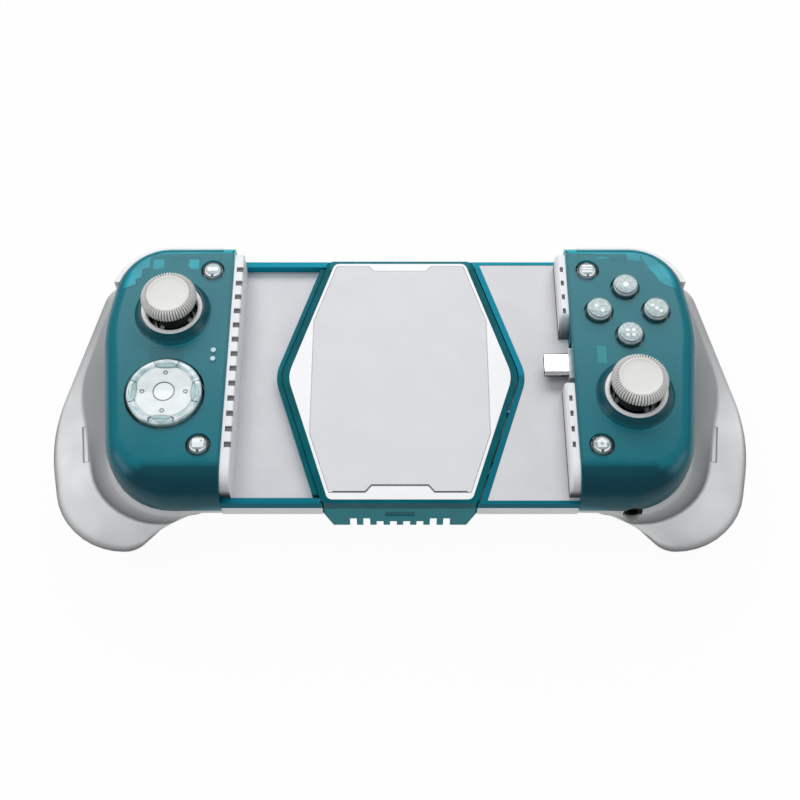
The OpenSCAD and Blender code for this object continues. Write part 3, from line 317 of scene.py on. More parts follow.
@dataclass(frozen=True)
class RailFinish(Finish):
    """A white rail that greys where its top dips, as painted shade, with walls along the bay like the floor
    beside them.
    """

    wall: Colour = (0.8, 0.8, 0.82)
    # The wall's foot; where it is dark, a painted shadow line
    foot: Colour = (0.8, 0.8, 0.82)
    # Painted shade where the top dips
    dip: Colour = (0.07, 0.07, 0.075)
    dip_z: Span = (0.0418, 0.0478)
    foot_z: Span = (0.0419, 0.0424)
    wall_turn: Span = (0.6, 0.75)

    def tone(self, bench: ShaderBench) -> Socket:
        """White on top, darker where the top dips, as painted shade, and the wall's own tones on faces that
        look along X.

        Args:
            bench: the material's tree.

        Returns:
            The colour.
        """
        height = bench.axis("Z")
        top = bench.mix(bench.fall(height, self.dip_z), super().tone(bench), self.dip)
        wall = bench.mix(bench.fall(height, self.foot_z), self.wall, self.foot)
        return bench.mix(bench.rise(bench.sideways("True Normal"), self.wall_turn), top, wall)


@dataclass(frozen=True)
class ShellFinish(ClearFinish):
    """Tinted clear plastic of the pads: it hides more where the wall turns down, and painted shade darkens it
    to its edges.
    """

    # Painted shade for the walls, darkest on the near wall and less dark at its foot; it stands partly for
    # the dark inside seen through
    wall: Colour = (0.003, 0.145, 0.195)
    outer: Colour = (0.003, 0.085, 0.112)
    near: Colour = (0.0005, 0.052, 0.076)
    foot: Colour = (0.0005, 0.078, 0.105)
    # Painted shade on the outer wall, darker towards the parting line
    seam: Colour = (0.001, 0.02, 0.03)
    # The tray rims' tones; the far half is lighter than the near half
    rim: Colour = (0.004, 0.155, 0.215)
    far_rim: Colour = (0.004, 0.25, 0.36)
    # Painted shade on the raised collars round the sticks
    collar: Colour = (0.001, 0.07, 0.092)
    wall_body: float = 0.93
    rim_sheen: float = 0.2
    turn_z: Span = (0.0482, 0.04892)
    edge_depth: Span = (0.0, 0.0048)
    lowest_z: Span = (0.0464, 0.0474)
    collar_z: Span = (0.0492, 0.0495)
    seam_z: Span = (0.0395, 0.042)
    foot_z: Span = (0.0405, 0.0455)
    tray_x: Span = (0.0546, 0.0556)
    corner_x: float = 0.078
    corner_lean: float = 0.7
    near_y: Span = (-0.0368, -0.0318)
    middle_y: Span = (0.0, 0.001)
    far_y: Span = (0.036, 0.043)
    far_share: float = 0.55

    def outside(self, bench: ShaderBench) -> Socket:
        """0 on the tray rims, 1 on the pad."""
        return bench.rise(bench.math("ABSOLUTE", bench.axis("X")), self.tray_x)

    def nearness(self, bench: ShaderBench) -> Socket:
        """1 on the near wall, which ends sooner at the pad's outer corner.

        Args:
            bench: the material's tree.

        Returns:
            The share, from 0 to 1.
        """
        across = bench.math("ABSOLUTE", bench.axis("X"))
        beyond = bench.math("MAXIMUM", bench.math("SUBTRACT", across, self.corner_x), 0.0)
        along = bench.math("ADD", bench.axis("Y"), bench.math("MULTIPLY", beyond, self.corner_lean))
        return bench.fall(along, self.near_y)

    def turned(self, bench: ShaderBench) -> Socket:
        """0 on the flat face, 1 a little way down the walls, round the collars and on the tray rims.

        Args:
            bench: the material's tree.

        Returns:
            The share, from 0 to 1.
        """
        height = bench.axis("Z")
        clear = bench.spread(bench.axis("Y"), 1.0, self.far_share, *self.far_y)
        down = bench.math("MULTIPLY", bench.fall(height, self.turn_z), clear)
        both = self.nearness(bench)
        rims = bench.math("SUBTRACT", 1.0, self.outside(bench))
        for place in (down, bench.fall(height, self.lowest_z), bench.rise(height, self.collar_z), rims):
            both = bench.math("MAXIMUM", both, place)
        return both

    def tone(self, bench: ShaderBench) -> Socket:
        """The face's colour with painted shade, darker down the walls and most of all on the near one.

        Args:
            bench: the material's tree.

        Returns:
            The colour.
        """
        height = bench.axis("Z")
        # Painted shade: darker down the walls, towards the parting line, on the near wall and on the collars
        edge = bench.rise(bench.math("SUBTRACT", self.turn_z[1], height), self.edge_depth)
        outer = bench.mix(bench.fall(height, self.seam_z), self.outer, self.seam)
        low = bench.mix(bench.fall(height, self.foot_z), self.near, self.foot)
        walls = bench.mix(self.nearness(bench), bench.mix(edge, self.wall, outer), low)
        raised = bench.mix(bench.rise(height, self.collar_z), walls, self.collar)
        pad = bench.mix(self.turned(bench), super().tone(bench), raised)
        rims = bench.mix(bench.rise(bench.axis("Y"), self.middle_y), self.rim, self.far_rim)
        return bench.mix(self.outside(bench), rims, pad)

    def sheen(self, bench: ShaderBench, fresnel: Socket) -> Socket:
        """The tray rims are less glossy than the pad."""
        return bench.math("MULTIPLY", fresnel, bench.spread(self.outside(bench), self.rim_sheen, 1.0))

    def share(self, bench: ShaderBench) -> object:
        """The shell is less clear down the walls."""
        return bench.spread(self.turned(bench), self.body, self.wall_body)


@dataclass(frozen=True)
class GripFinish(ClearFinish):
    """Frosted clear plastic, greyed by painted shade below the parting line, most at the near corner."""

    far_tone: Colour = (0.42, 0.425, 0.43)
    far_y: Span = (-0.012, 0.024)
    # Painted shade: a darker rim where the surface turns sideways and along its low edge
    rim: Colour = (0.1, 0.105, 0.11)
    rim_z: Span = (0.0244, 0.0276)
    rim_turn: Span = (0.6, 0.99)
    # Painted shade: grey below the parting line, darkest at the near corner
    band: Colour = (0.33, 0.34, 0.345)
    band_low: float = 0.0300
    band_rise: float = 0.0018
    band_y: Span = (-0.046, 0.004)
    band_blend: Span = (0.0, 0.0005)
    crease: Colour = (0.05, 0.055, 0.058)
    crease_z: Span = (0.0315, 0.0348)
    corner_y: Span = (-0.041, -0.014)
    # Painted highlight: a pale edge along the parting line
    edge: Colour = (0.62, 0.63, 0.635)
    edge_z: Span = (0.0348, 0.0362)
    tab_line: Colour = (0.3, 0.31, 0.315)
    tab_y: Span = (-0.0262, -0.0134)
    tab_z: Span = (0.0306, 0.0313)
    line_half: float = 0.00012
    # Painted shade: the jack hole's wall painted black
    hole: Colour = (0.004, 0.004, 0.005)
    hole_at: Point = (0.072, 0.0358)
    hole_radius: float = 0.00305
    hole_low: float = 0.0345

    def tab_room(self, bench: ShaderBench, grow: float) -> Socket:
        """1 within the small tab's outline, else 0.

        Args:
            bench: the material's tree.
            grow: how far the outline is moved outwards.

        Returns:
            The value.
        """
        inside = 1.0
        for value, (low, high) in ((bench.axis("Y"), self.tab_y), (bench.axis("Z"), self.tab_z)):
            inside = bench.math("MULTIPLY", inside, bench.math("GREATER_THAN", value, low - grow))
            inside = bench.math("MULTIPLY", inside, bench.math("LESS_THAN", value, high + grow))
        return inside

    def tab(self, bench: ShaderBench) -> Socket:
        """1 on the outline of the small moulded tab beside the parting line."""
        outer, inner = (self.tab_room(bench, grow) for grow in (self.line_half, -self.line_half))
        return bench.math("SUBTRACT", outer, inner)

    def holed(self, bench: ShaderBench) -> Socket:
        """1 on the wall of the round hole for the audio jack.

        Args:
            bench: the material's tree.

        Returns:
            The value, 0 or 1.
        """
        across = bench.math("SUBTRACT", bench.axis("X"), self.hole_at[0])
        up = bench.math("SUBTRACT", bench.axis("Z"), self.hole_at[1])
        square = bench.math("ADD", bench.math("MULTIPLY", across, across), bench.math("MULTIPLY", up, up))
        inside = bench.math("LESS_THAN", square, self.hole_radius ** 2)
        return bench.math("MULTIPLY", inside, bench.math("GREATER_THAN", bench.axis("Z"), self.hole_low))

    def tone(self, bench: ShaderBench) -> Socket:
        """Frosted below, with painted shade greying it towards the parting line and in a darker rim, and a
        painted highlight along it.

        Args:
            bench: the material's tree.

        Returns:
            The colour.
        """
        along, height = bench.axis("Y"), bench.axis("Z")
        frosted = bench.mix(bench.rise(along, self.far_y), super().tone(bench), self.far_tone)
        # Painted shade on the rim, below the parting line and at the near corner; painted highlight along the
        # parting line
        rimmed = bench.mix(bench.rise(bench.sideways("Normal"), self.rim_turn), frosted, self.rim)
        rimmed = bench.mix(bench.fall(height, self.rim_z), rimmed, self.rim)
        corner = bench.mix(bench.rise(height, self.crease_z), self.crease, self.edge)
        wall = bench.mix(bench.fall(along, self.corner_y), self.band, corner)
        start = bench.spread(along, self.band_low + self.band_rise, self.band_low, *self.band_y)
        above = bench.math("SUBTRACT", height, start)
        banded = bench.mix(bench.rise(above, self.band_blend), rimmed, wall)
        edged = bench.mix(bench.rise(height, self.edge_z), banded, self.edge)
        tabbed = bench.mix(self.tab(bench), edged, self.tab_line)
        # The jack hole's wall is painted black as shade
        return bench.mix(self.holed(bench), tabbed, self.hole)


class Finishes:
    """Every finish of the controller."""

    TEAL = ShellFinish("teal_shell", (0.003, 0.205, 0.275), (0.003, 0.185, 0.25), 0.3, mottle=40.0,
                       tint=(0.05, 0.85, 0.93), body=0.45, gloss=0.24, index=1.38)
    BRIDGE = ClearFinish("teal_bridge", (0.003, 0.125, 0.15), (0.003, 0.1, 0.125), 0.3, mottle=160.0,
                         tint=(0.05, 0.6, 0.7), body=0.88, gloss=0.2, index=1.14)
    BASE = Finish("teal_base", (0.003, 0.06, 0.08), (0.003, 0.05, 0.068), 0.4, shine=0.15)
    GRIP = GripFinish("frosted_grip", (0.86, 0.865, 0.87), (0.7, 0.705, 0.71), 0.4, mottle=45.0,
                      tint=(0.96, 0.97, 0.97), body=0.96, gloss=0.3, index=1.2)
    WHITE = Finish("white_moulding", (0.84, 0.84, 0.845), (0.8, 0.8, 0.81), 0.42)
    LEFT_RAIL = RailFinish("left_rail_white", (0.84, 0.84, 0.85), (0.8, 0.8, 0.815), 0.42)
    # The right rail's walls end in a dark foot, a painted shadow line
    RIGHT_RAIL = RailFinish("right_rail_white", (0.84, 0.84, 0.85), (0.8, 0.8, 0.815), 0.42,
                            foot=(0.05, 0.05, 0.055))
    TRAY = Finish("tray_grey", (0.64, 0.64, 0.665), (0.61, 0.61, 0.635), 0.36)
    PANEL = Finish("phone_pad_grey", (0.7, 0.7, 0.72), (0.68, 0.68, 0.7), 0.55)
    PAPER = Finish("bridge_white", (0.9, 0.9, 0.905), (0.88, 0.88, 0.885), 0.4)
    CAP = Finish("warm_white_rubber", (0.76, 0.75, 0.73), (0.73, 0.72, 0.7), 0.62, grain_height=0.00001)
    # Painted shade in the grooves between the stick cap's ribs
    GROOVE = Finish("rib_groove", (0.25, 0.245, 0.235), (0.22, 0.215, 0.205), 0.7)
    CLEAR = ClearFinish("clear_key", (0.6, 0.66, 0.67), (0.5, 0.57, 0.58), 0.12, tint=(0.96, 0.985, 0.985),
                        body=0.05, gloss=0.05, index=1.5)
    CARRIER = ClearFinish("clear_carrier", (0.62, 0.68, 0.7), (0.5, 0.57, 0.6), 0.2, tint=(0.85, 0.92, 0.94),
                          body=0.72, gloss=0.08, index=1.5, mottle=300.0)
    CORE = Finish("key_core", (0.56, 0.63, 0.64), (0.24, 0.33, 0.35), 0.25, mottle=1500.0)
    SMALL_CORE = Finish("small_key_core", (0.42, 0.5, 0.51), (0.26, 0.34, 0.35), 0.25, mottle=700.0)
    # Painted shade on the sleeve's lower part, in the key's hole
    SLEEVE = SteppedFinish("key_sleeve", (0.84, 0.89, 0.89), (0.62, 0.7, 0.71), 0.2, mottle=600.0,
                           below=(0.012, 0.02, 0.022), level=0.0473)
    # Painted shade, dark teal, on the sleeve's lower part
    FACE_SLEEVE = SteppedFinish("face_key_sleeve", (0.86, 0.91, 0.91), (0.62, 0.7, 0.71), 0.2, mottle=600.0,
                                below=(0.02, 0.12, 0.145), level=0.0498, blend=0.0004)
    PAD_CORE = Finish("pad_core", (0.86, 0.88, 0.88), (0.76, 0.79, 0.79), 0.3, mottle=260.0)
    PAD_RIM = Finish("pad_rim_silver", (0.86, 0.91, 0.92), (0.42, 0.56, 0.6), 0.2, mottle=380.0)
    PETAL = Finish("pad_petal", (0.4, 0.56, 0.57), (0.26, 0.42, 0.43), 0.2, mottle=500.0)
    OUTLINE = Finish("pad_line", (0.1, 0.14, 0.145), (0.08, 0.115, 0.12), 0.35)
    # White marks, and the painted highlights on the keys and the direction pad
    MARK = Finish("white_mark", (0.95, 0.95, 0.95), (0.92, 0.92, 0.92), 0.45)
    # Painted shade for gaps, slits, notches and dark edges
    INK = Finish("dark_gap", (0.012, 0.016, 0.02), (0.009, 0.012, 0.016), 0.35)
    # Painted shade on the floors of the rail's notches
    NOTCH = Finish("notch_grey", (0.14, 0.137, 0.135), (0.12, 0.117, 0.115), 0.5)
    FRAME = Finish("inner_frame_grey", (0.1, 0.095, 0.1), (0.085, 0.085, 0.09), 0.5)
    WINDOW = Finish("inner_light", (0.4, 0.54, 0.6), (0.3, 0.3, 0.34), 0.5, mottle=120.0)
    # Painted highlight: a pale arc at the near foot of the collars round the sticks
    GLOW = Finish("collar_foot_light", (0.2, 0.22, 0.23), (0.12, 0.14, 0.15), 0.5, mottle=300.0)
    # Dark inner ribs, and the painted shade beside the rail
    RIB = Finish("inner_rib_dark", (0.006, 0.012, 0.014), (0.005, 0.01, 0.012), 0.5)
    TAB = Finish("inner_tab_grey", (0.06, 0.035, 0.04), (0.055, 0.03, 0.035), 0.5)
    MINT = Finish("mint_connector", (0.3, 0.3, 0.2), (0.28, 0.28, 0.18), 0.4)
    # Painted shade on the light's lower part, in its hole
    LIGHT = SteppedFinish("status_light", (0.52, 0.68, 0.76), (0.47, 0.63, 0.71), 0.3,
                          below=(0.02, 0.08, 0.1), level=0.0486)
    STEEL = Finish("bright_steel", (0.66, 0.66, 0.68), (0.6, 0.6, 0.62), 0.28, metallic=1.0)
    # A painted dark reflection on the plug's lower part
    PLUG = SteppedFinish("plated_plug", (0.86, 0.86, 0.88), (0.82, 0.82, 0.84), 0.16, metallic=1.0,
                         below=(0.02, 0.02, 0.022), level=0.0449)
    BOARD = Finish("circuit_board", (0.012, 0.05, 0.045), (0.009, 0.04, 0.036), 0.4, mottle=500.0)
    SILICONE = Finish("key_mat_silicone", (0.3, 0.32, 0.32), (0.26, 0.28, 0.28), 0.6)
    GEAR = Finish("gear_plastic", (0.78, 0.7, 0.45), (0.74, 0.66, 0.42), 0.4)
    RIBBON = Finish("ribbon_film", (0.02, 0.024, 0.026), (0.015, 0.018, 0.02), 0.4)
    JACK = Finish("jack_black", (0.005, 0.005, 0.006), (0.004, 0.004, 0.005), 0.6, shine=0.1)
    SOCKET = Finish("stick_socket_black", (0.014, 0.015, 0.017), (0.01, 0.011, 0.012), 0.2)
    LEVER = Finish("stick_lever_grey", (0.03, 0.032, 0.034), (0.02, 0.022, 0.024), 0.14)


class Shop:
    """Makes meshes and turns them into pieces that ride on a body."""

    MERGE = 1e-7
    SOLID_MERGE = 1e-6
    EDGE_STEPS = 2
    EVEN_WEIGHT = 80

    @staticmethod
    def placed(name: str, mesh: Mesh, finish: Finish, body: str) -> bpy.types.Object:
        """Links a shaded mesh as an object.

        Args:
            name: the object's name.
            mesh: its mesh, in metres and in place.
            finish: what it is made of.
            body: the body that it moves with.

        Returns:
            The new object.
        """
        mesh.materials.clear()
        mesh.materials.append(finish.material())
        made = bpy.data.objects.new(name, mesh)
        bpy.context.scene.collection.objects.link(made)
        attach(made, body)
        LOG.info("%s: %d faces, on %s", name, len(mesh.polygons), body)
        return made

    @staticmethod
    def shaded(mesh: Mesh, sharp: float) -> None:
        """Shades a mesh smooth, but for the edges steeper than some degrees."""
        mesh.polygons.foreach_set("use_smooth", [True] * len(mesh.polygons))
        mesh.set_sharp_from_angle(angle=math.radians(sharp))

    @staticmethod
    def piece(name: str, mesh: Mesh, finish: Finish, body: str, sharp: float = 35.0) -> bpy.types.Object:
        """Shades a mesh and links it; sharp is as for shaded, and the rest as for placed."""
        Shop.shaded(mesh, sharp)
        return Shop.placed(name, mesh, finish, body)

    @staticmethod
    def cleaned(mesh: Mesh) -> Mesh:
        """Merges a mesh's doubled corners and turns its faces outwards.

        Args:
            mesh: the mesh, which is changed.

        Returns:
            The same mesh.
        """
        work = bmesh.new()
        work.from_mesh(mesh)
        bmesh.ops.remove_doubles(work, verts=work.verts, dist=Shop.MERGE)
        bmesh.ops.recalc_face_normals(work, faces=work.faces)
        work.to_mesh(mesh)
        work.free()
        return mesh

    @staticmethod
    def moved(mesh: Mesh, shift: Place) -> Mesh:
        """Shifts a mesh.

        Args:
            mesh: the mesh, which is changed.
            shift: how far, in millimetres.

        Returns:
            The same mesh.
        """
        for vertex in mesh.vertices:
            vertex.co += Vector(shift) * MM
        return mesh

    @staticmethod
    def evaluated(name: str, holder: bpy.types.Object, layers: bool = False) -> Mesh:
        """The final mesh of an object, which is removed.

        Args:
            name: the mesh's name.
            holder: the object, not linked yet.
            layers: True keeps every data layer, the normals among them.

        Returns:
            The mesh.
        """
        bpy.context.scene.collection.objects.link(holder)
        bpy.context.view_layer.update()
        graph = bpy.context.evaluated_depsgraph_get()
        mesh = bpy.data.meshes.new_from_object(holder.evaluated_get(graph), preserve_all_data_layers=layers,
                                               depsgraph=graph)
        bpy.data.objects.remove(holder)
        mesh.name = name
        return mesh

    @staticmethod
    def from_points(name: str, points: list[Place], faces: list[tuple[int, ...]]) -> Mesh:
        """A mesh from its corners and faces.

        Args:
            name: the mesh's name.
            points: its corners, in millimetres.
            faces: the corner numbers of each face.

        Returns:
            The mesh.
        """
        mesh = bpy.data.meshes.new(name)
        mesh.from_pydata([Vector(p) * MM for p in points], [], faces)
        return Shop.cleaned(mesh)

    @staticmethod
    def skin(first: int, rows: int, wide: int) -> list[tuple[int, ...]]:
        """Faces of a closed tube.

        Args:
            first: the number of its first corner.
            rows: how many sections it has.
            wide: how many corners each section has.

        Returns:
            The faces, the two ends among them.
        """
        last = first + (rows - 1) * wide
        faces = [tuple(range(first, first + wide)), tuple(reversed(range(last, last + wide)))]
        for row in range(first, last, wide):
            for k in range(wide):
                a, b = row + k, row + (k + 1) % wide
                faces.append((a, b, b + wide, a + wide))
        return faces

    @staticmethod
    def turned(name: str, profile: list[Point], centre: Point, steps: int, closed: bool = False,
               top: float = 0.0) -> Mesh:
        """A turned shape round an upright axis.

        Args:
            name: the mesh's name.
            profile: radius and height of each point, in order.
            centre: the axis.
            steps: how many faces go round.
            closed: True joins the last point to the first, for a ring.
            top: the level that the profile's heights are counted from.

        Returns:
            The mesh.
        """
        points: list[Place] = []
        rows: list[list[int]] = []
        for radius, height in profile:
            if radius == 0.0:
                rows.append([len(points)] * steps)
                points.append((*centre, top + height))
                continue
            rows.append(list(range(len(points), len(points) + steps)))
            points += [(x, y, top + height) for x, y in PadPlan.circle(centre, radius, steps)]
        pairs = list(zip(rows, rows[1:]))
        if closed:
            pairs.append((rows[-1], rows[0]))
        faces: list[tuple[int, ...]] = []
        for low, high in pairs:
            for k in range(steps):
                n = (k + 1) % steps
                corners = tuple(dict.fromkeys((low[k], low[n], high[n], high[k])))
                if len(corners) > 2:
                    faces.append(corners)
        return Shop.from_points(name, points, faces)

    @staticmethod
    def plate(name: str, outlines: list[list[Point]], low: float, high: float, edge: float = 0.0) -> Mesh:
        """A flat plate with holes and rounded edges.

        Args:
            name: the mesh's name.
            outlines: closed outlines; those inside another are holes.
            low: height of its underside.
            high: height of its top.
            edge: radius of its edges.

        Returns:
            The mesh.
        """
        curve = bpy.data.curves.new(name, "CURVE")
        curve.dimensions = "2D"
        curve.fill_mode = "BOTH"
        curve.extrude = ((high - low) / 2 - edge) * MM
        curve.bevel_depth = edge * MM
        curve.offset = -edge * MM
        curve.bevel_resolution = Shop.EDGE_STEPS
        for outline in outlines:
            spline = curve.splines.new("POLY")
            spline.points.add(len(outline) - 1)
            for point, (x, y) in zip(spline.points, outline):
                point.co = (x * MM, y * MM, 0.0, 1.0)
            spline.use_cyclic_u = True
        mesh = Shop.evaluated(name, bpy.data.objects.new(name, curve))
        bpy.data.curves.remove(curve)
        return Shop.cleaned(Shop.moved(mesh, (0.0, 0.0, (low + high) / 2)))

    @staticmethod
    def joined(name: str, meshes: list[Mesh]) -> Mesh:
        """Several meshes as one.

        Args:
            name: the new mesh's name.
            meshes: the meshes, which are removed.

        Returns:
            The new mesh.
        """
        work = bmesh.new()
        for mesh in meshes:
            work.from_mesh(mesh)
            bpy.data.meshes.remove(mesh)
        whole = bpy.data.meshes.new(name)
        work.to_mesh(whole)
        work.free()
        return whole

    @staticmethod
    def smoothed(node: bpy.types.Object, name: str, sharp: float) -> Mesh:
        """A merged copy of a solid's mesh, shaded smooth over its gentle edges.

        Args:
            node: the solid's object.
            name: the new mesh's name.
            sharp: edges steeper than this many degrees stay sharp.

        Returns:
            The copy.
        """
        mesh = node.data.copy()
        work = bmesh.new()
        work.from_mesh(mesh)
        bmesh.ops.remove_doubles(work, verts=work.verts, dist=Shop.SOLID_MERGE)
        bmesh.ops.dissolve_degenerate(work, edges=work.edges, dist=Shop.MERGE)
        work.to_mesh(mesh)
        work.free()
        if "custom_normal" in mesh.attributes:
            mesh.attributes.remove(mesh.attributes["custom_normal"])
        Shop.shaded(mesh, sharp)
        holder = bpy.data.objects.new(name, mesh)
        weighted = holder.modifiers.new("even_shading", "WEIGHTED_NORMAL")
        weighted.keep_sharp = True
        weighted.weight = Shop.EVEN_WEIGHT
        return Shop.evaluated(name, holder, layers=True)


class Repeater:
    """A Geometry Nodes tree that sets copies of a shape along a line, each turned further round Z."""

    INPUTS = {"Count": "NodeSocketInt", "Start": "NodeSocketVector", "Step": "NodeSocketVector",
              "Turn": "NodeSocketFloat", "Shape": "NodeSocketObject", "Material": "NodeSocketMaterial"}

    @staticmethod
    def tree() -> bpy.types.GeometryNodeTree:
        """The tree, made once.

        Returns:
            The tree.
        """
        name = "row_of_shapes"
        found = bpy.data.node_groups.get(name)
        if found is not None:
            return found
        bench = NodeBench(bpy.data.node_groups.new(name, "GeometryNodeTree"))
        sockets = bench.tree.interface
        for label, kind in Repeater.INPUTS.items():
            sockets.new_socket(label, in_out="INPUT", socket_type=kind)
        sockets.new_socket("Geometry", in_out="OUTPUT", socket_type="NodeSocketGeometry")
        entry = bench.add("NodeGroupInput").outputs
        line = bench.add("GeometryNodeMeshLine", {
            "Count": entry["Count"], "Start Location": entry["Start"], "Offset": entry["Step"]})
        number = bench.add("GeometryNodeInputIndex")
        angle = bench.add("ShaderNodeMath", {0: number.outputs[0], 1: entry["Turn"]}, operation="MULTIPLY")
        euler = bench.add("ShaderNodeCombineXYZ", {"Z": angle.outputs[0]})
        turn = bench.add("FunctionNodeEulerToRotation", {0: euler.outputs[0]})
        shape = bench.add("GeometryNodeObjectInfo", {"Object": entry["Shape"]})
        put = bench.add("GeometryNodeInstanceOnPoints", {
            "Points": line.outputs[0], "Rotation": turn.outputs[0], "Instance": shape.outputs["Geometry"]})
        real = bench.add("GeometryNodeRealizeInstances", {0: put.outputs[0]})
        paint = bench.add("GeometryNodeSetMaterial", {0: real.outputs[0], "Material": entry["Material"]})
        bench.add("NodeGroupOutput", {0: paint.outputs[0]})
        return bench.tree

    @staticmethod
    def run(name: str, shape: Mesh, finish: Finish, values: dict[str, object]) -> Mesh:
        """Runs the tree and returns its result as a plain mesh.

        Args:
            name: the result's name.
            shape: the mesh to repeat.
            finish: the material that the tree sets.
            values: the tree's other inputs by name.

        Returns:
            The mesh.
        """
        tree = Repeater.tree()
        master = bpy.data.objects.new(name + "_shape", shape)
        holder = bpy.data.objects.new(name, bpy.data.meshes.new(name + "_holder"))
        modifier = holder.modifiers.new("repeat", "NODES")
        modifier.node_group = tree
        named = {item.name: item.identifier for item in tree.interface.items_tree if item.in_out == "INPUT"}
        for label, value in {**values, "Shape": master, "Material": finish.material()}.items():
            modifier[named[label]] = value
        mesh = Shop.evaluated(name, holder)
        bpy.data.objects.remove(master)
        return mesh

    @staticmethod
    def ring(name: str, shape: Mesh, finish: Finish, count: int) -> Mesh:
        """Copies of a shape round the Z axis, each turned to face outwards."""
        return Repeater.run(name, shape, finish, {"Count": count, "Turn": 2 * math.pi / count})


@dataclass(frozen=True)
class PadPlan:
    """Places of the controls on a hand pad, as the solids have them, for the right hand."""

    upper: Point = (73.9, 19.6)
    lower: Point = (73.9, -10.9)
    small_far: Point = (62.0, 35.7)
    small_near: Point = (62.0, -29.0)
    lights: tuple[Point, ...] = ((59.6, 4.9), (59.6, 1.7))
    arm: float = 9.25

    @staticmethod
    def circle(centre: Point, radius: float, steps: int = 48) -> list[Point]:
        """Points round a circle."""
        return [(centre[0] + radius * math.cos(2 * math.pi * k / steps),
                 centre[1] + radius * math.sin(2 * math.pi * k / steps)) for k in range(steps)]

    @staticmethod
    def arc(centre: Point, radius: float, start: float, end: float, steps: int) -> list[Point]:
        """Points along an arc between two angles in degrees, with so many edges."""
        angles = [math.radians(start + (end - start) * k / steps) for k in range(steps + 1)]
        return [(centre[0] + radius * math.cos(a), centre[1] + radius * math.sin(a)) for a in angles]

    @staticmethod
    def stroke(line: list[Point], width: float) -> list[Point]:
        """The outline of a line drawn with a pen of some width.

        Args:
            line: the line's points.
            width: the pen's width.

        Returns:
            The outline.
        """
        sides: list[list[Point]] = [[], []]
        for i, here in enumerate(line):
            before, after = line[max(i - 1, 0)], line[min(i + 1, len(line) - 1)]
            along = Vector((after[0] - before[0], after[1] - before[1])).normalized() * width / 2
            sides[0].append((here[0] - along.y, here[1] + along.x))
            sides[1].append((here[0] + along.y, here[1] - along.x))
        return sides[0] + sides[1][::-1]

    @staticmethod
    def box(near: Point, far: Point) -> list[Point]:
        """The corners of an upright box from its lower left and upper right ones."""
        return [near, (far[0], near[1]), far, (near[0], far[1])]

    @staticmethod
    def rounded(corners: list[Point], radii: list[float], steps: int = 8) -> list[Point]:
        """A closed outline with rounded corners.

        Args:
            corners: the sharp corners in order.
            radii: the radius at each.
            steps: how many edges each corner gets.

        Returns:
            The outline's points.
        """
        points: list[Point] = []
        count = len(corners)
        for i, radius in enumerate(radii):
            before, here, after = (Vector(corners[(i + k) % count]) for k in (-1, 0, 1))
            into, out = (here - before).normalized(), (after - here).normalized()
            turn = into.angle(out)
            side = 1.0 if into.x * out.y - into.y * out.x > 0 else -1.0
            start = here - into * radius * math.tan(turn / 2)
            normal = Vector((into.y, -into.x)) * side
            centre = start - normal * radius
            first = math.atan2(normal.y, normal.x)
            for k in range(steps + 1):
                angle = first + side * turn * k / steps
                points.append((centre.x + radius * math.cos(angle), centre.y + radius * math.sin(angle)))
        return points


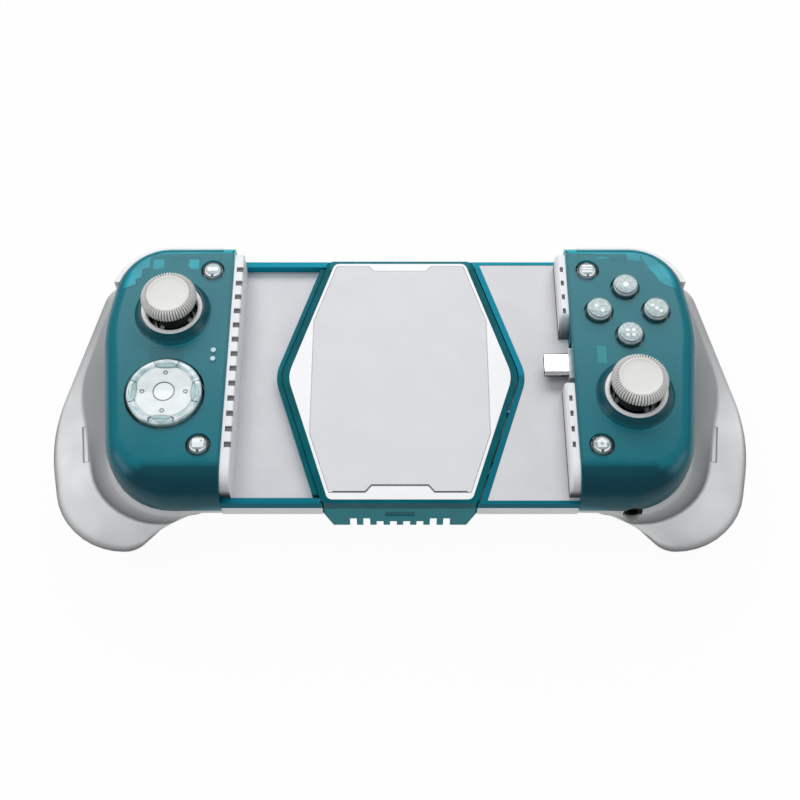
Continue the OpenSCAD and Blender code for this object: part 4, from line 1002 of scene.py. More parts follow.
@dataclass
class InnerFrame:
    """The grey frame moulded into a pad's face, which shows through the tinted shell."""

    side: Side
    plan: PadPlan
    low: float = 47.5
    high: float = 47.8
    light_low: float = 47.2
    light_high: float = 47.4
    film_low: float = 47.82
    film_high: float = 47.86
    rib_high: float = 47.88
    rib_width: float = 0.4
    # Radius and arc of the painted highlight round the stick hole
    glow_radius: float = 12.85
    glow_arc: Span = (215.0, 335.0)
    small_hole: float = 4.05
    face_hole: float = 4.95
    stick_hole: float = 12.55
    pad_hole: float = 12.75
    light_hole: float = 0.95
    tab_radius: float = 0.8

    ROOM = [(55.5, -39.4), (87.0, -39.4), (93.75, 14.0), (89.6, 44.2), (55.5, 44.2)]
    ROOM_RADII = [0.3, 17.5, 50.0, 15.0, 0.3]
    RAIL_SHADE = PadPlan.box((55.4, -39.3), (56.1, 44.2))
    CHIP = PadPlan.box((63.1, 0.6), (66.0, 7.0))
    TAB = [(68.6, 1.9), (80.6, 1.9), (79.8, 6.6), (69.6, 6.6)]
    FAR_EDGE = {
        Side.LEFT: [(92.3, 26.5), (91.4, 28.9), (87.1, 30.6), (87.3, 33.0), (85.2, 34.0), (85.4, 36.6),
                    (83.4, 37.4), (83.2, 43.0), (66.0, 43.4), (55.5, 43.4)],
        Side.RIGHT: [(92.6, 24.0), (91.4, 28.6), (88.4, 30.0), (86.0, 32.0), (83.6, 36.2), (81.8, 37.6),
                     (80.6, 40.0), (76.0, 40.8), (75.6, 43.0), (55.5, 43.4)],
    }
    WINDOWS = {
        Side.LEFT: [[(78.4, 37.2), (82.2, 36.8), (82.4, 41.4), (78.6, 41.4)],
                    [(66.8, 36.8), (69.4, 37.0), (70.6, 38.6), (70.4, 41.4), (66.9, 41.3)]],
        Side.RIGHT: [[(65.6, 41.2), (69.6, 41.2), (69.6, 42.4), (65.6, 42.4)]],
    }
    RIBS = {
        Side.LEFT: [[(75.3, 39.9), (75.2, 41.2), (71.7, 41.2), (71.6, 39.9)],
                    [(92.5, 28.4), (87.0, 30.6), (87.3, 33.0)], [(85.2, 34.0), (85.4, 36.6), (83.4, 37.4)],
                    [(59.8, 43.2), (59.8, 39.8)]],
        Side.RIGHT: [[(71.0, 42.6), (71.0, 40.6), (75.3, 40.6), (75.3, 42.6)],
                     [(80.4, 42.4), (80.8, 40.0), (82.6, 37.6)], [(87.2, 30.6), (92.4, 28.2)],
                     [(59.6, 43.2), (59.8, 40.0)], [(90.4, 4.2), (93.0, 3.2)], [(90.2, 1.0), (92.6, 0.2)]],
    }

    @staticmethod
    def face() -> list[Point]:
        """The room inside the face's wall, for the right hand."""
        return PadPlan.rounded(InnerFrame.ROOM, InnerFrame.ROOM_RADII)

    def outline(self) -> list[Point]:
        """The frame's own edge, drawn for the right hand."""
        far = self.FAR_EDGE[self.side]
        return [p for p in self.face() if p[1] < far[0][1]] + far

    def holes(self) -> list[list[Point]]:
        """Holes for the controls and the lights.

        Returns:
            The outlines, for the right hand.
        """
        plan = self.plan
        holes = [plan.circle(place, self.small_hole) for place in (plan.small_far, plan.small_near)]
        if self.side is Side.LEFT:
            holes.append(plan.circle(plan.upper, self.stick_hole, 64))
            holes.append(plan.circle(plan.lower, self.pad_hole, 64))
            return holes + [plan.circle(place, self.light_hole, 16) for place in plan.lights]
        holes.append(plan.circle(plan.lower, self.stick_hole, 64))
        x, y = plan.upper
        for dx, dy in ((0, 1), (0, -1), (1, 0), (-1, 0)):
            holes.append(plan.circle((x + dx * plan.arm, y + dy * plan.arm), self.face_hole))
        return holes

    def layer(self, label: str, outlines: list[list[Point]], low: float, high: float, finish: Finish) -> None:
        """Adds one flat layer of the frame.

        Args:
            label: the piece's name after the hand's.
            outlines: outlines for the right hand, as for Shop.plate.
            low: its underside.
            high: its top.
            finish: what it is made of.
        """
        name = f"{self.side.word}_{label}"
        mesh = Shop.plate(name, [self.side.flip(o) for o in outlines], low, high)
        Shop.piece(name, mesh, finish, self.side.body)

    def build(self) -> None:
        """Makes the frame, the light beyond its far edge, the ribs there, the painted shade beside the rail
        and a painted highlight.
        """
        holes = self.holes()
        frame = [self.outline(), *holes, *self.WINDOWS[self.side]]
        self.layer("inner_frame", frame, self.low, self.high, Finishes.FRAME)
        self.layer("inner_light", [self.face(), *holes], self.light_low, self.light_high, Finishes.WINDOW)
        film = (self.film_low, self.film_high)
        stick = self.plan.upper if self.side is Side.LEFT else self.plan.lower
        # Painted highlight: a pale arc at the near foot of the collars round the stick
        highlight = PadPlan.stroke(PadPlan.arc(stick, self.glow_radius, *self.glow_arc, 40), self.rib_width)
        self.layer("collar_glow", [highlight], *film, Finishes.GLOW)
        ribs = [PadPlan.stroke(line, self.rib_width) for line in self.RIBS[self.side]]
        # The strip beside the rail is painted shade
        self.layer("inner_ribs", [*ribs, self.RAIL_SHADE], self.film_low, self.rib_high, Finishes.RIB)
        if self.side is Side.RIGHT:
            self.layer("mint_chip", [self.CHIP], *film, Finishes.MINT)
        else:
            tab = PadPlan.rounded(self.TAB, [self.tab_radius] * 4, 4)
            self.layer("inner_tab", [tab], *film, Finishes.TAB)


@dataclass
class RailShape:
    """A phone rail drawn as sections along Y, with notches cut in its top."""

    side: Side
    notch: Span
    chamfer: float
    low: float
    top: float = 48.3
    inner: float = 52.0
    outer: float = 55.2
    notch_first: float = 36.4
    notch_pitch: float = 5.42
    notch_count: int = 13
    notch_half: float = 1.0
    notch_floor: float = 47.4
    end_bevel: float = 0.85
    edge_bevel: float = 0.25
    chamfer_slope: float = 1.25
    near_start: float = -35.0
    near_radius: float = 10.3
    dip_length: float = 5.2
    dip_depth: float = 6.6
    skip: range = range(4, 9)
    sections: int = 96
    hair: float = 1e-4

    def notch_rows(self) -> list[tuple[int, int]]:
        """The unbroken rows of notches; the right rail has none beside the plug.

        Returns:
            The first number and the count of each row.
        """
        if self.side is Side.LEFT:
            return [(0, self.notch_count)]
        return [(0, self.skip.start), (self.skip.stop, self.notch_count - self.skip.stop)]

    def notch_place(self, number: int) -> float:
        """Where a notch is along Y, counted from the far end."""
        return self.notch_first - number * self.notch_pitch

    def height(self, y: float, far: float, dips_at: float | None) -> float:
        """The top's level at one place along the rail.

        Args:
            y: the place.
            far: where the rail ends on the far side.
            dips_at: where the rail ends in an S-shaped dip, if it does.

        Returns:
            The level.
        """
        level = self.top - max(0.0, y - far + self.end_bevel)
        if y < self.near_start:
            run = self.near_start - y
            level -= self.near_radius - math.sqrt(self.near_radius ** 2 - run * run)
        if dips_at is not None and y < dips_at + self.dip_length:
            share = (dips_at + self.dip_length - y) / self.dip_length
            level -= self.dip_depth * (0.5 - 0.5 * math.cos(math.pi * share))
        return level

    def section(self, y: float, level: float, notched: bool) -> list[Place]:
        """The rail's section at one place.

        Args:
            y: the place.
            level: the top's level there.
            notched: whether it is in a notch.

        Returns:
            The corners, from the foot by the bay to the foot by the pad.
        """
        start, end = self.notch
        open_side = start <= self.inner
        upper = [(self.inner, level - self.chamfer * self.chamfer_slope, open_side),
                 (self.inner + self.chamfer, level, open_side)]
        if not open_side:
            upper += [(start, level, False), (start, level, True)]
        upper += [(end, level, True), (end, level, False), (self.outer - self.edge_bevel, level, False),
                  (self.outer, level - self.edge_bevel, False)]
        row = [(self.inner, self.low)]
        row += [(x, min(z, self.notch_floor) if notched and cut else z) for x, z, cut in upper]
        row.append((self.outer, self.low))
        return [(self.side.value * x, y, z) for x, z in row]

    def mesh(self, spans: list[tuple[float, float, bool]]) -> Mesh:
        """The rail's mesh.

        Args:
            spans: near end and far end of each stretch, and whether its near end dips.

        Returns:
            The mesh.
        """
        points: list[Place] = []
        faces: list[tuple[int, ...]] = []
        half = self.notch_half
        notches = [self.notch_place(first + k) for first, count in self.notch_rows() for k in range(count)]
        for near, far, dips in spans:
            places = {round(near + (far - near) * k / self.sections, 3) for k in range(self.sections + 1)}
            places.add(round(far - self.end_bevel, 3))
            marks = [m for m in notches if near < m < far]
            rows = [(y, False) for y in places if all(abs(y - m) > half for m in marks)]
            for m in marks:
                rows += [(m + way * half, False) for way in (-1, 1)]
                rows += [(m + way * (half - self.hair), True) for way in (-1, 1)]
            rows.sort()
            dips_at = near if dips else None
            sections = [self.section(y, self.height(y, far, dips_at), notched) for y, notched in rows]
            faces += Shop.skin(len(points), len(sections), len(sections[0]))
            points += [place for section in sections for place in section]
        return Shop.from_points(f"{self.side.word}_rail", points, faces)


@dataclass
class HandPad:
    """The shells, rail and fixed trim of one hand."""

    side: Side
    plan: PadPlan
    nodes: dict[str, bpy.types.Object]
    rail_end: float = 42.85
    plug_gap: Span = (-6.4, 14.2)
    rail_sharp: float = 30.0
    floor_half: float = 0.97
    floor_thick: float = 0.25
    floor_inset: float = 0.05
    floor_edge: float = 0.04

    # Each shell's name, finish, and the angle past which its edges stay sharp
    SHELLS = (("front_shell", Finishes.TEAL, 24.0), ("rear_shell", Finishes.GRIP, 40.0))
    RAILS = {Side.LEFT: RailShape(Side.LEFT, (52.0, 54.15), 0.3, 37.0),
             Side.RIGHT: RailShape(Side.RIGHT, (53.03, 54.07), 0.8, 40.0)}

    def shells(self) -> None:
        """Smooth copies of both shells stand for the faceted solids."""
        for part, finish, sharp in self.SHELLS:
            node = f"{self.side.word}_{part}"
            name = f"{node}_smooth"
            mesh = Shop.smoothed(self.nodes[node], name, sharp)
            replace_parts(Shop.placed(name, mesh, finish, self.side.body), node)

    def rail(self) -> None:
        """A rail with rounded edges stands for the plain one."""
        end, (near, far) = self.rail_end, self.plug_gap
        if self.side is Side.LEFT:
            spans, finish = [(-end, end, False)], Finishes.LEFT_RAIL
        else:
            spans, finish = [(-end, near, False), (far, end, True)], Finishes.RIGHT_RAIL
        name = f"{self.side.word}_rail"
        mesh = self.RAILS[self.side].mesh(spans)
        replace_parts(Shop.piece(f"{name}_rounded", mesh, finish, self.side.body, self.rail_sharp), name)

    def notches(self) -> None:
        """Dark floors in the rail's notches, painted shade, set along the rail."""
        rail = self.RAILS[self.side]
        inner = max(rail.notch[0], rail.inner + self.floor_inset)
        x0, x1 = sorted(self.side.value * x for x in (inner, rail.notch[1]))
        outline = PadPlan.box((x0, -self.floor_half), (x1, self.floor_half))
        low, high = rail.notch_floor, rail.notch_floor + self.floor_thick
        meshes = []
        for first, count in rail.notch_rows():
            shape = Shop.plate("notch_floor", [outline], low, high, self.floor_edge)
            values = {"Count": count, "Start": (0.0, rail.notch_place(first) * MM, 0.0),
                      "Step": (0.0, -rail.notch_pitch * MM, 0.0)}
            meshes.append(Repeater.run("notch_row", shape, Finishes.NOTCH, values))
        name = f"{self.side.word}_rail_notches"
        Shop.piece(name, Shop.joined(name, meshes), Finishes.NOTCH, self.side.body)

    def build(self) -> None:
        """Makes everything that is fixed to this hand."""
        self.shells()
        self.rail()
        self.notches()
        InnerFrame(self.side, self.plan).build()


@dataclass
class PadLine:
    """The dark line along the near edge of the phone pad, round its tab, as painted shade."""

    half: float = 20.8
    near: float = -41.2
    tab_half: float = 8.85
    tab_lean: float = 1.9
    tab_depth: float = 2.25
    width: float = 0.34
    top: float = 40.6
    sunk: float = 0.02
    proud: float = 0.03
    body: str = "bridge"

    def build(self) -> None:
        """Makes the line, let into the pad's top."""
        y = self.near + self.width / 2
        corner = self.tab_half + self.tab_lean
        right = [(self.tab_half, y + self.tab_depth), (corner, y), (self.half, y)]
        line = [(-x, v) for x, v in reversed(right)] + right
        mesh = Shop.plate("pad_near_line", [PadPlan.stroke(line, self.width)], self.top - self.sunk,
                          self.top + self.proud)
        Shop.piece("pad_near_line", mesh, Finishes.INK, self.body)


@dataclass
class ThumbStick:
    """A stick's knurled cap over its dark skirt; heights are counted from its top."""

    side: Side
    centre: Point
    ribs: int = 56
    rib_half: float = 0.29
    rib_sink: float = 0.62
    top: float = 59.5

    RIM = [(0.0, -5.0), (4.4, -5.0), (5.4, -4.5), (7.4, -4.5), (7.95, -4.3), (8.25, -3.8), (8.4, -3.0),
           (8.33, -2.0), (8.05, -1.2), (7.55, -0.6), (6.9, -0.3), (6.3, -0.3), (6.0, -0.9), (0.0, -0.9)]
    DISH = [(0.0, -1.0), (6.6, -1.0), (6.85, -0.45), (6.75, -0.15), (6.45, -0.02), (6.15, -0.08),
            (5.9, -0.25), (5.5, -0.36), (4.4, -0.44), (2.2, -0.5), (0.0, -0.52)]
    SKIRT = [(0.0, -12.9), (5.2, -12.9), (5.35, -12.6), (5.1, -12.0), (4.2, -10.9), (3.5, -9.4), (3.2, -7.6),
             (3.2, -5.9), (3.8, -5.2), (4.4, -5.0), (0.0, -5.0)]
    RIB_PATH = [(8.25, -4.15), (8.7, -3.5), (8.92, -2.6), (8.86, -1.75), (8.55, -0.95), (8.05, -0.36),
                (7.4, -0.06), (6.7, -0.1)]
    # Shares of a rib's half width and of its sink
    RIB_SECTION = [(-1.0, 1.0), (-0.72, 0.25), (0.0, 0.0), (0.72, 0.25), (1.0, 1.0)]

    def rib(self) -> Mesh:
        """One rib that climbs the side and rolls over the shoulder, drawn at the axis.

        Returns:
            The mesh.
        """
        path = self.RIB_PATH
        points: list[Place] = []
        for i, (r, z) in enumerate(path):
            before, after = path[max(i - 1, 0)], path[min(i + 1, len(path) - 1)]
            along = Vector((after[0] - before[0], after[1] - before[1])).normalized()
            inward = Vector((-along.y, along.x)) * self.rib_sink
            for across, depth in self.RIB_SECTION:
                points.append((r + inward.x * depth, across * self.rib_half, self.top + z + inward.y * depth))
        return Shop.from_points("rib", points, Shop.skin(0, len(path), len(self.RIB_SECTION)))

    def turned(self, part: str, profile: list[Point], finish: Finish, sharp: float,
               steps: int) -> bpy.types.Object:
        """Makes a turned piece of the stick; sharp is as for Shop.shaded, steps as for Shop.turned."""
        mesh = Shop.turned(part, profile, self.centre, steps, top=self.top)
        return Shop.piece(f"{self.side.word}_{part}", mesh, finish, f"{self.side.word}_stick", sharp)

    def build(self) -> None:
        """Makes the rim, painted dark as shade between the ribs, the dished top, the ribs and the skirt."""
        word = self.side.word
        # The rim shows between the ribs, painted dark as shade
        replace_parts(self.turned("cap_rim", self.RIM, Finishes.GROOVE, 50.0, 96), f"{word}_stick_cap")
        self.turned("cap_top", self.DISH, Finishes.CAP, 50.0, 96)
        name = f"{word}_cap_ribs"
        ribs = Repeater.ring(name, self.rib(), Finishes.CAP, self.ribs)
        Shop.piece(name, Shop.moved(ribs, (*self.centre, 0.0)), Finishes.CAP, f"{word}_stick", 60.0)
        self.turned("stick_skirt", self.SKIRT, Finishes.LEVER, 35.0, 72)


@dataclass
class Key:
    """A clear round key over its core, with a plain mark inside."""

    node: str
    body: str
    centre: Point
    radius: float
    top: float
    stem: float
    stem_low: float
    flange_top: float = 46.7
    flange_reach: float = 1.1
    flange_thick: float = 0.9
    flange_gap: float = 0.05
    tier: float = 1.1
    skin: float = 0.45
    wall: float = 0.6
    foot_gap: float = 0.02
    inner_bevel: float = 0.25
    core_gap: float = 0.25
    core_thick: float = 0.25
    core_drop: float = 0.05
    sleeve_gap: float = 0.1
    sleeve_drop: float = 0.3
    soft_edge: float = 0.1
    soft_drop: float = 0.12
    mark_drop: float = 0.04
    mark_z: Span = (0.0, 0.035)
    line_inset: float = 0.24
    line_width: float = 0.42
    line_arc: Span = (182.0, 358.0)
    line_z: Span = (-0.02, 0.03)
    disc: Finish = Finishes.CORE
    wrap: Finish = Finishes.SLEEVE

    # Points of the clear cap, from its bore and top, its bore and shoulder, its side and shoulder
    DOME = [(-0.6, -0.04), (-0.05, -0.16), (0.2, -0.4)]
    STEP = [(0.26, 0.1), (0.3, 0.0)]
    SHOULDER = [(-0.08, -0.08), (0.0, -0.3)]

    @property
    def level(self) -> float:
        """Where the marks lie, in the cap's hollow."""
        return self.top - self.skin - self.mark_drop

    def clear_cap(self) -> Mesh:
        """The hollow clear cap, in two tiers.

        Returns:
            The mesh.
        """
        r, bore, bevel = self.radius, self.radius - self.wall, self.inner_bevel
        shoulder, foot, ceiling = self.top - self.tier, self.flange_top - self.foot_gap, self.top - self.skin
        profile = [(0.0, self.top)]
        profile += [(bore + x, self.top + z) for x, z in self.DOME]
        profile += [(bore + x, shoulder + z) for x, z in self.STEP]
        profile += [(r + x, shoulder + z) for x, z in self.SHOULDER]
        profile += [(r, foot), (bore, foot), (bore, ceiling - bevel), (bore - bevel, ceiling), (0.0, ceiling)]
        return Shop.turned("clear_cap", profile, self.centre, 64)

    def core(self) -> Mesh:
        """The silver disc close under the cap's top.

        Returns:
            The mesh.
        """
        edge, under = self.radius - self.wall - self.core_gap, -self.core_thick
        soft = edge - self.soft_edge
        profile = [(0.0, under), (soft, under), (edge, -self.soft_drop), (soft, 0.0), (0.0, 0.0)]
        return Shop.turned("core", profile, self.centre, 64, top=self.top - self.skin - self.core_drop)

    def sleeve(self) -> Mesh:
        """The bright sleeve under the disc, with its flange and stem; its finish paints shade on its lower
        part.

        Returns:
            The mesh.
        """
        top, low = self.top - self.skin - self.sleeve_drop, self.stem_low
        under, seat = self.flange_top - self.flange_thick, self.flange_top - self.flange_gap
        flange, edge = self.radius + self.flange_reach, self.radius - self.wall - self.sleeve_gap
        profile = [(0.0, low), (self.stem, low), (self.stem, under), (flange, under), (flange, seat),
                   (edge, seat), (edge, top - self.soft_drop), (edge - self.soft_edge, top), (0.0, top)]
        return Shop.turned("sleeve", profile, self.centre, 64)

    def crescent(self, thick: float, outer: float, start: float, end: float) -> list[Point]:
        """A crescent's outline round the key's centre.

        Args:
            thick: its thickness at the middle; its ends have a quarter of it.
            outer: its outer radius.
            start: where it starts, in degrees.
            end: where it ends.

        Returns:
            The outline.
        """
        steps = 28
        edge = PadPlan.arc(self.centre, outer, start, end, steps)
        inside = []
        for k, place in enumerate(edge):
            left = 1 - thick / outer * (0.25 + 0.75 * math.sin(math.pi * k / steps))
            inside.append(tuple(c + (p - c) * left for c, p in zip(self.centre, place)))
        return edge + inside[::-1]

    def film(self, part: str, outlines: list[list[Point]], heights: Span, finish: Finish) -> None:
        """Adds a thin flat piece, at heights from the marks' level."""
        low, high = (self.level + height for height in heights)
        Shop.piece(f"{self.node}_{part}", Shop.plate(part, outlines, low, high), finish, self.body)

    def marks(self) -> list[list[Point]]:
        """Outlines of the mark, round the origin."""
        return []

    def trim(self) -> None:
        """Adds the dark line on the near side, as painted shade."""
        outer = self.radius - self.wall - self.line_inset
        self.film("line", [self.crescent(self.line_width, outer, *self.line_arc)], self.line_z, Finishes.INK)

    def build(self) -> None:
        """Makes the cap, the core, the mark and the trim."""
        cap = Shop.piece(f"{self.node}_clear", self.clear_cap(), Finishes.CLEAR, self.body)
        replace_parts(cap, self.node)
        Shop.piece(f"{self.node}_core", self.core(), self.disc, self.body)
        Shop.piece(f"{self.node}_sleeve", self.sleeve(), self.wrap, self.body)
        marks = [[(x + self.centre[0], y + self.centre[1]) for x, y in outline] for outline in self.marks()]
        self.film("mark", marks, self.mark_z, Finishes.MARK)
        self.trim()


@dataclass
class FaceKey(Key):
    """A face button marked with pips."""

    pips: int = 1
    pip_radius: float = 0.6
    lone_radius: float = 0.95

    LAYOUTS = {1: [(0.0, 0.0)], 2: [(-0.95, 0.95), (0.95, -0.95)], 3: [(-1.3, 1.1), (0.0, 0.0), (1.3, -1.1)],
               4: [(-0.95, 0.95), (0.95, 0.95), (0.95, -0.95), (-0.95, -0.95)]}

    def marks(self) -> list[list[Point]]:
        """One to four pips, much as a die has them."""
        size = self.lone_radius if self.pips == 1 else self.pip_radius
        return [PadPlan.circle(place, size, 24) for place in self.LAYOUTS[self.pips]]


class Icon(Enum):
    """Plain marks of the small keys."""

    BAR = "bar"
    LINES = "lines"
    FRAME = "frame"
    HOUSE = "house"


@dataclass
class SmallKey(Key):
    """A small round key with a plain icon, a pale crescent of painted highlight and a dark notch of painted
    shade below it.
    """

    icon: Icon = Icon.BAR
    trim_inset: float = 0.9
    crescent_width: float = 0.62
    crescent_arc: Span = (190.0, 350.0)
    crescent_z: Span = (0.0, 0.03)
    edge_width: float = 0.22
    edge_z: Span = (-0.02, 0.02)
    notch_half: float = 0.4
    notch_y: Span = (-0.05, 0.95)
    notch_z: Span = (0.01, 0.04)

    ICONS = {
        Icon.BAR: [PadPlan.rounded(PadPlan.box((-1.75, -0.35), (1.75, 1.15)), [0.4] * 4, 4)],
        Icon.LINES: [PadPlan.box((-1.75, y), (1.75, y + 0.56)) for y in (-0.8, 0.25, 1.3)],
        Icon.FRAME: [PadPlan.rounded(PadPlan.box((-1.75, -1.0), (1.75, 2.0)), [0.3] * 4, 4),
                     PadPlan.circle((0.95, 1.25), 0.42, 16)],
        Icon.HOUSE: [[(-1.4, -1.0), (1.4, -1.0), (1.4, 0.7), (2.1, 0.7), (0.0, 2.3), (-2.1, 0.7),
                      (-1.4, 0.7)], PadPlan.circle((0.0, 0.2), 0.5, 16)],
    }

    def marks(self) -> list[list[Point]]:
        """The icon's outlines."""
        return self.ICONS[self.icon]

    def trim(self) -> None:
        """Adds the crescent, a painted highlight, and the dark edge round it and its notch, in painted shade.
        """
        outer = self.radius - self.trim_inset
        crescent = self.crescent(self.crescent_width, outer, *self.crescent_arc)
        self.film("crescent", [crescent], self.crescent_z, Finishes.MARK)
        rings = [PadPlan.circle(self.centre, radius, 64) for radius in (outer + self.edge_width, outer)]
        self.film("edge", rings, self.edge_z, Finishes.INK)
        x, y = self.centre[0], self.centre[1] - outer
        low, high = self.notch_y
        slot = PadPlan.box((x - self.notch_half, y + low), (x + self.notch_half, y + high))
        self.film("notch", [slot], self.notch_z, Finishes.INK)


@dataclass
class DirectionPad:
    """The clear rocking disc with its petals, core and dots; heights are counted from its top."""

    centre: Point
    top: float = 51.1
    body: str = "dpad_key"
    petal_reach: float = 9.6
    petal_half: float = 3.4
    bulge_out: float = 1.35
    bulge_in: float = 1.1
    line_width: float = 0.14
    slit_width: float = 0.22
    glint_outer: float = 11.15
    glint_inner: float = 10.75
    dot_reach: float = 6.8
    ring_level: float = -1.1

    DISC = [(0.0, -0.7), (5.0, -0.66), (8.8, -0.24), (9.6, -0.05), (10.6, 0.0), (11.4, -0.18), (11.85, -0.6),
            (12.05, -1.2), (12.05, -6.0), (13.35, -6.0), (13.35, -7.1), (11.75, -7.1), (11.75, -1.3),
            (11.3, -0.95), (10.6, -0.8), (5.0, -1.1), (0.0, -1.1)]
    CORE = [(5.6, -7.1), (9.3, -7.1), (9.3, -1.45), (9.1, -1.2), (5.0, -1.16), (0.0, -1.16), (0.0, -2.7),
            (5.6, -2.7)]
    RIM = [(9.35, -7.1), (11.7, -7.1), (11.7, -1.35), (11.2, -1.02), (10.5, -0.95), (9.9, -1.05),
           (9.35, -1.5)]
    BUTTON = [(0.0, -1.3), (3.0, -1.3), (2.95, -1.12), (0.0, -1.1)]
    # Radius of each ring and of its section
    RING = (3.3, 0.16)
    DOT = (0.58, 0.15)
    SLIT = [(9.0, 3.2), (9.9, 3.75), (11.0, 3.9)]
    WEDGE = [(3.1, -9.0), (4.3, -9.5), (4.0, -10.4)]
    GLINTS = [(212, 248), (292, 332)]
    LEVELS = {"petals": (-1.15, -0.98), "slits": (-1.0, -0.93), "petal_lines": (-0.99, -0.95),
              "glints": (-0.98, -0.9), "notches": (-1.05, -0.96)}

    def turned(self, part: str, profile: list[Point], finish: Finish, steps: int = 96,
               closed: bool = False) -> bpy.types.Object:
        """Makes a turned piece of the pad; the last two are as for Shop.turned."""
        mesh = Shop.turned(part, profile, self.centre, steps, closed, self.top)
        return Shop.piece(f"dpad_{part}", mesh, finish, self.body)

    def ring(self, place: Point, size: Span) -> Mesh:
        """A thin round ring.

        Args:
            place: its centre, from the pad's own.
            size: its radius and its section's.

        Returns:
            The mesh.
        """
        radius, thick = size
        at = (self.centre[0] + place[0], self.centre[1] + place[1])
        profile = PadPlan.circle((radius, self.ring_level), thick, 8)
        return Shop.turned("ring", profile, at, 32, True, self.top)

    def flat(self, part: str, outlines: list[list[Point]]) -> Mesh:
        """Flat shapes round the origin as one mesh, at the level that the part has."""
        low, high = (self.top + level for level in self.LEVELS[part])
        return Shop.joined(part, [Shop.plate(part, [outline], low, high) for outline in outlines])

    def centred(self, part: str, mesh: Mesh, finish: Finish) -> None:
        """Moves a mesh from the origin to the pad and makes it a piece."""
        Shop.piece(f"dpad_{part}", Shop.moved(mesh, (*self.centre, 0.0)), finish, self.body)

    def around(self, part: str, outlines: list[list[Point]], finish: Finish) -> None:
        """Sets flat shapes, drawn for the right-hand side, four times round the pad."""
        self.centred(part, Repeater.ring(part, self.flat(part, outlines), finish, 4), finish)

    def petal(self) -> tuple[list[Point], list[Point]]:
        """The edges of a lens-shaped petal on the right-hand side.

        Returns:
            The outer edge and the inner one, in order round the petal.
        """
        outer, inner = [], []
        for share in (k / 12 for k in range(-12, 13)):
            y, swell = self.petal_half * share, 1 - share * share
            middle = math.sqrt(self.petal_reach ** 2 - y * y)
            outer.append((middle + self.bulge_out * swell, y))
            inner.append((middle - self.bulge_in * swell, y))
        return outer, inner[::-1]

    def glint(self, start: float, end: float) -> list[Point]:
        """A pale arc near the disc's edge, round the origin, as a painted highlight.

        Args:
            start: where it starts, in degrees.
            end: where it ends.

        Returns:
            The outline.
        """
        origin = (0.0, 0.0)
        outer = PadPlan.arc(origin, self.glint_outer, start, end, 12)
        return outer + PadPlan.arc(origin, self.glint_inner, end, start, 12)

    def build(self) -> None:
        """Makes the disc, the core, the petals, the slits, the rings and the dots, with painted highlights
        and painted shade.
        """
        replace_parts(self.turned("clear", self.DISC, Finishes.CLEAR), "dpad")
        self.turned("core", self.CORE, Finishes.PAD_CORE)
        self.turned("rim", self.RIM, Finishes.PAD_RIM, closed=True)
        outer, inner = self.petal()
        # The slits and the notches are dark sheets of painted shade
        slits = [PadPlan.stroke([(x, way * y) for x, y in self.SLIT], self.slit_width) for way in (-1, 1)]
        self.around("petals", [outer + inner], Finishes.PETAL)
        self.around("slits", slits, Finishes.INK)
        self.around("petal_lines", [PadPlan.stroke(line, self.line_width) for line in (outer, inner)],
                    Finishes.OUTLINE)
        # Painted highlights near the disc's near edge
        glints = self.flat("glints", [self.glint(*span) for span in self.GLINTS])
        self.centred("glints", glints, Finishes.MARK)
        notches = self.flat("notches", [side.flip(self.WEDGE) for side in Side])
        self.centred("notches", notches, Finishes.INK)
        rings = [self.ring((0.0, 0.0), self.RING)]
        for way in (self.dot_reach, -self.dot_reach):
            rings += [self.ring(place, self.DOT) for place in ((way, 0.0), (0.0, way))]
        Shop.piece("dpad_rings", Shop.joined("dpad_rings", rings), Finishes.OUTLINE, self.body, 60.0)
        self.turned("centre", self.BUTTON, Finishes.MARK, 48)


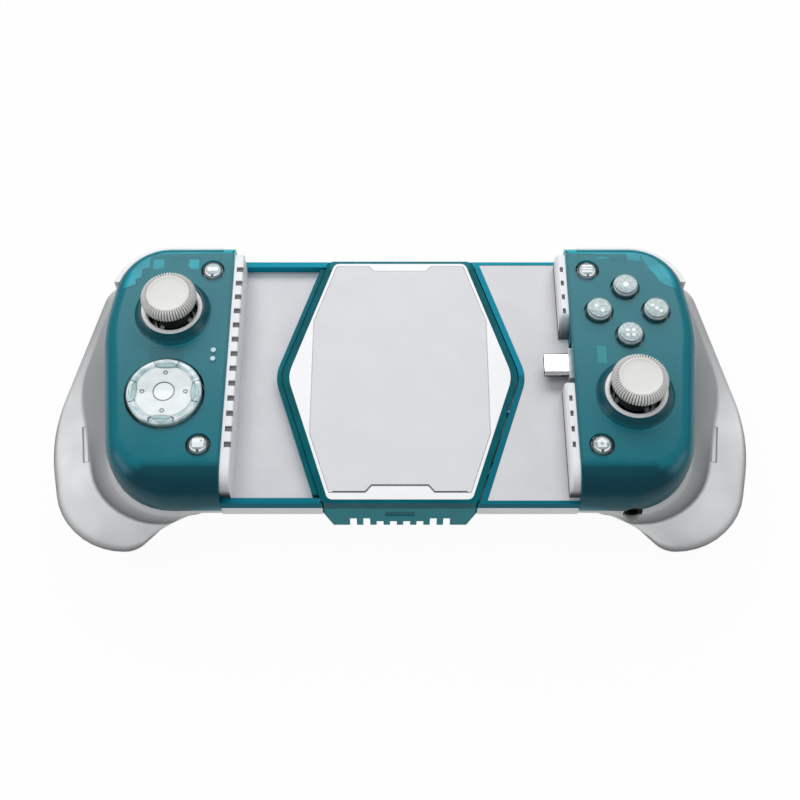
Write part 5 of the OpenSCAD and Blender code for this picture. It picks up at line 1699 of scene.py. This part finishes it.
@dataclass
class Studio:
    """Floor, light and the camera at the photograph's angle."""

    target: Place = (0.0, -0.0135, 0.049)
    distance: float = 0.3984
    elevation: float = 61.0
    focal_px: float = 1275.56
    frame_px: float = 800.0
    sensor: float = 36.0
    floor_half: float = 3.0
    floor_white: float = 0.96
    floor_tone: Colour = (0.8, 0.8, 0.8)
    sky_tone: Colour = (0.95, 0.975, 1.0)
    sky_strength: float = 0.36
    clip_start: float = 0.01
    aim: Place = (0.0, 0.0, 0.04)

    def camera(self) -> None:
        """Sets the camera."""
        angle = math.radians(self.elevation)
        data = bpy.data.cameras.new("camera")
        data.sensor_width = self.sensor
        data.lens = self.focal_px / self.frame_px * self.sensor
        data.clip_start = self.clip_start
        made = bpy.data.objects.new("camera", data)
        away = Vector((0.0, -math.cos(angle), math.sin(angle)))
        made.location = Vector(self.target) + away * self.distance
        made.rotation_euler = (math.radians(90.0 - self.elevation), 0.0, 0.0)
        bpy.context.scene.collection.objects.link(made)
        bpy.context.scene.camera = made

    def floor(self) -> None:
        """A white floor that stays white to the camera and keeps a faint shadow."""
        bench = ShaderBench("studio_floor")
        paths = bench.add("ShaderNodeLightPath").outputs
        seen = bench.math("MAXIMUM", paths["Is Camera Ray"], paths["Is Glossy Ray"])
        seen = bench.math("MAXIMUM", seen, paths["Is Transmission Ray"])
        matt = bench.add("ShaderNodeBsdfDiffuse", {"Color": (*self.floor_tone, 1.0)})
        white = bench.add("ShaderNodeEmission", {"Strength": 1.0})
        share = bench.math("MULTIPLY", seen, self.floor_white)
        h = self.floor_half / MM
        corners = [(x, y, 0.0) for x, y in PadPlan.box((-h, -h), (h, h))]
        mesh = Shop.from_points("floor", corners, [(0, 1, 2, 3)])
        mesh.materials.append(bench.done(bench.shaders(share, matt.outputs[0], white.outputs[0])))
        made = bpy.data.objects.new("floor", mesh)
        bpy.context.scene.collection.objects.link(made)

    def lamp(self, name: str, place: Place, size: Point, watts: float, mirrored: bool = True) -> None:
        """A soft box that faces the object.

        Args:
            name: the lamp's name.
            place: where it hangs.
            size: its width and height.
            watts: its power.
            mirrored: whether glossy surfaces reflect it.
        """
        data = bpy.data.lights.new(name, "AREA")
        data.shape = "RECTANGLE"
        data.size, data.size_y = size
        data.energy = watts
        made = bpy.data.objects.new(name, data)
        made.location = place
        towards = Vector(self.aim) - Vector(place)
        made.rotation_euler = towards.to_track_quat("-Z", "Y").to_euler()
        made.visible_glossy = mirrored
        bpy.context.scene.collection.objects.link(made)

    def build(self) -> None:
        """Sets the whole studio."""
        scene = bpy.context.scene
        scene.view_settings.view_transform = "Standard"
        world = bpy.data.worlds.new("studio")
        world.use_nodes = True
        sky = world.node_tree.nodes["Background"]
        sky.inputs["Color"].default_value = (*self.sky_tone, 1.0)
        sky.inputs["Strength"].default_value = self.sky_strength
        scene.world = world
        self.camera()
        self.floor()
        self.lamp("back_box", (0.0, 0.66, 0.74), (1.2, 0.5), 6.2)
        self.lamp("top_box", (-0.35, -0.1, 1.0), (0.5, 0.5), 2.2, False)
        for side in Side:
            self.lamp(f"{side.word}_box", (side.value * 0.95, -0.25, 0.45), (0.5, 0.5), 1.4)


@dataclass
class Controller:
    """The whole controller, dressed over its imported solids."""

    frame: dict

    PLAIN = {
        Finishes.BRIDGE: ("bridge_frame",),
        Finishes.BASE: ("bridge_base",),
        Finishes.PAPER: ("bridge_plate",),
        Finishes.PANEL: ("phone_pad",),
        Finishes.TRAY: ("right_tray",),
        Finishes.WHITE: ("dpad_base", "dpad_pivot"),
        Finishes.LIGHT: ("status_lights",),
        Finishes.CARRIER: ("usb_carrier",),
        Finishes.PLUG: ("usb_plug",),
        Finishes.JACK: ("audio_jack",),
        Finishes.GEAR: ("sync_pinion",),
        Finishes.STEEL: ("bridge_screws", "return_springs"),
        Finishes.RIBBON: ("link_ribbon",),
    }
    PAIRED = {
        Finishes.TRAY: ("slide_plate",),
        Finishes.WHITE: ("tray_base", "stick_ring", "bumper", "trigger"),
        Finishes.SOCKET: ("stick_housing",),
        Finishes.LEVER: ("stick_gimbal", "stick_yoke", "stick_shaft"),
        Finishes.BOARD: ("circuit_board",),
        Finishes.SILICONE: ("key_mat",),
        Finishes.STEEL: ("screws", "pivot_pins", "trigger_spring"),
    }

    def plain_nodes(self) -> None:
        """Gives each solid that stays its own finish."""
        kept = [(finish, name) for finish, names in self.PLAIN.items() for name in names]
        for finish, names in self.PAIRED.items():
            kept += [(finish, f"{side.word}_{name}") for name in names for side in Side]
        for finish, name in kept:
            mesh = self.frame["nodes"][name].data
            mesh.materials.clear()
            mesh.materials.append(finish.material())

    def keys(self) -> list[Key]:
        """All the keys, with their places and sizes.

        Returns:
            The keys.
        """
        plan = PadPlan()
        x, y = plan.upper
        arm = plan.arm
        face = {"radius": 4.4, "top": 51.3, "stem": 2.8, "stem_low": 39.4, "wall": 0.4,
                "wrap": Finishes.FACE_SLEEVE}
        small = {"radius": 3.5, "top": 49.4, "stem": 1.6, "stem_low": 39.8, "tier": 0.5, "skin": 0.3,
                 "disc": Finishes.SMALL_CORE}
        left_far, left_near = Side.LEFT.flip([plan.small_far, plan.small_near])
        return [
            FaceKey("face_button_north", "north_key", (x, y + arm), pips=1, **face),
            FaceKey("face_button_west", "west_key", (x - arm, y), pips=2, **face),
            FaceKey("face_button_east", "east_key", (x + arm, y), pips=3, **face),
            FaceKey("face_button_south", "south_key", (x, y - arm), pips=4, **face),
            SmallKey("menu_button", "menu_key", left_far, icon=Icon.BAR, **small),
            SmallKey("capture_button", "capture_key", left_near, icon=Icon.FRAME, **small),
            SmallKey("options_button", "options_key", plan.small_far, icon=Icon.LINES, **small),
            SmallKey("home_button", "home_key", plan.small_near, icon=Icon.HOUSE, **small),
        ]

    def build(self) -> None:
        """Dresses the solids and adds the pieces that Blender makes."""
        plan = PadPlan()
        left_upper, left_lower = Side.LEFT.flip([plan.upper, plan.lower])
        self.plain_nodes()
        for side in Side:
            HandPad(side, plan, self.frame["nodes"]).build()
        PadLine().build()
        ThumbStick(Side.LEFT, left_upper).build()
        ThumbStick(Side.RIGHT, plan.lower).build()
        DirectionPad(left_lower).build()
        for key in self.keys():
            key.build()


def main() -> None:
    """Builds the studio and the controller."""
    logging.basicConfig(level=logging.INFO, format="%(message)s")
    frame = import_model()
    Studio().build()
    Controller(frame).build()


if __name__ == "__main__":
    main()
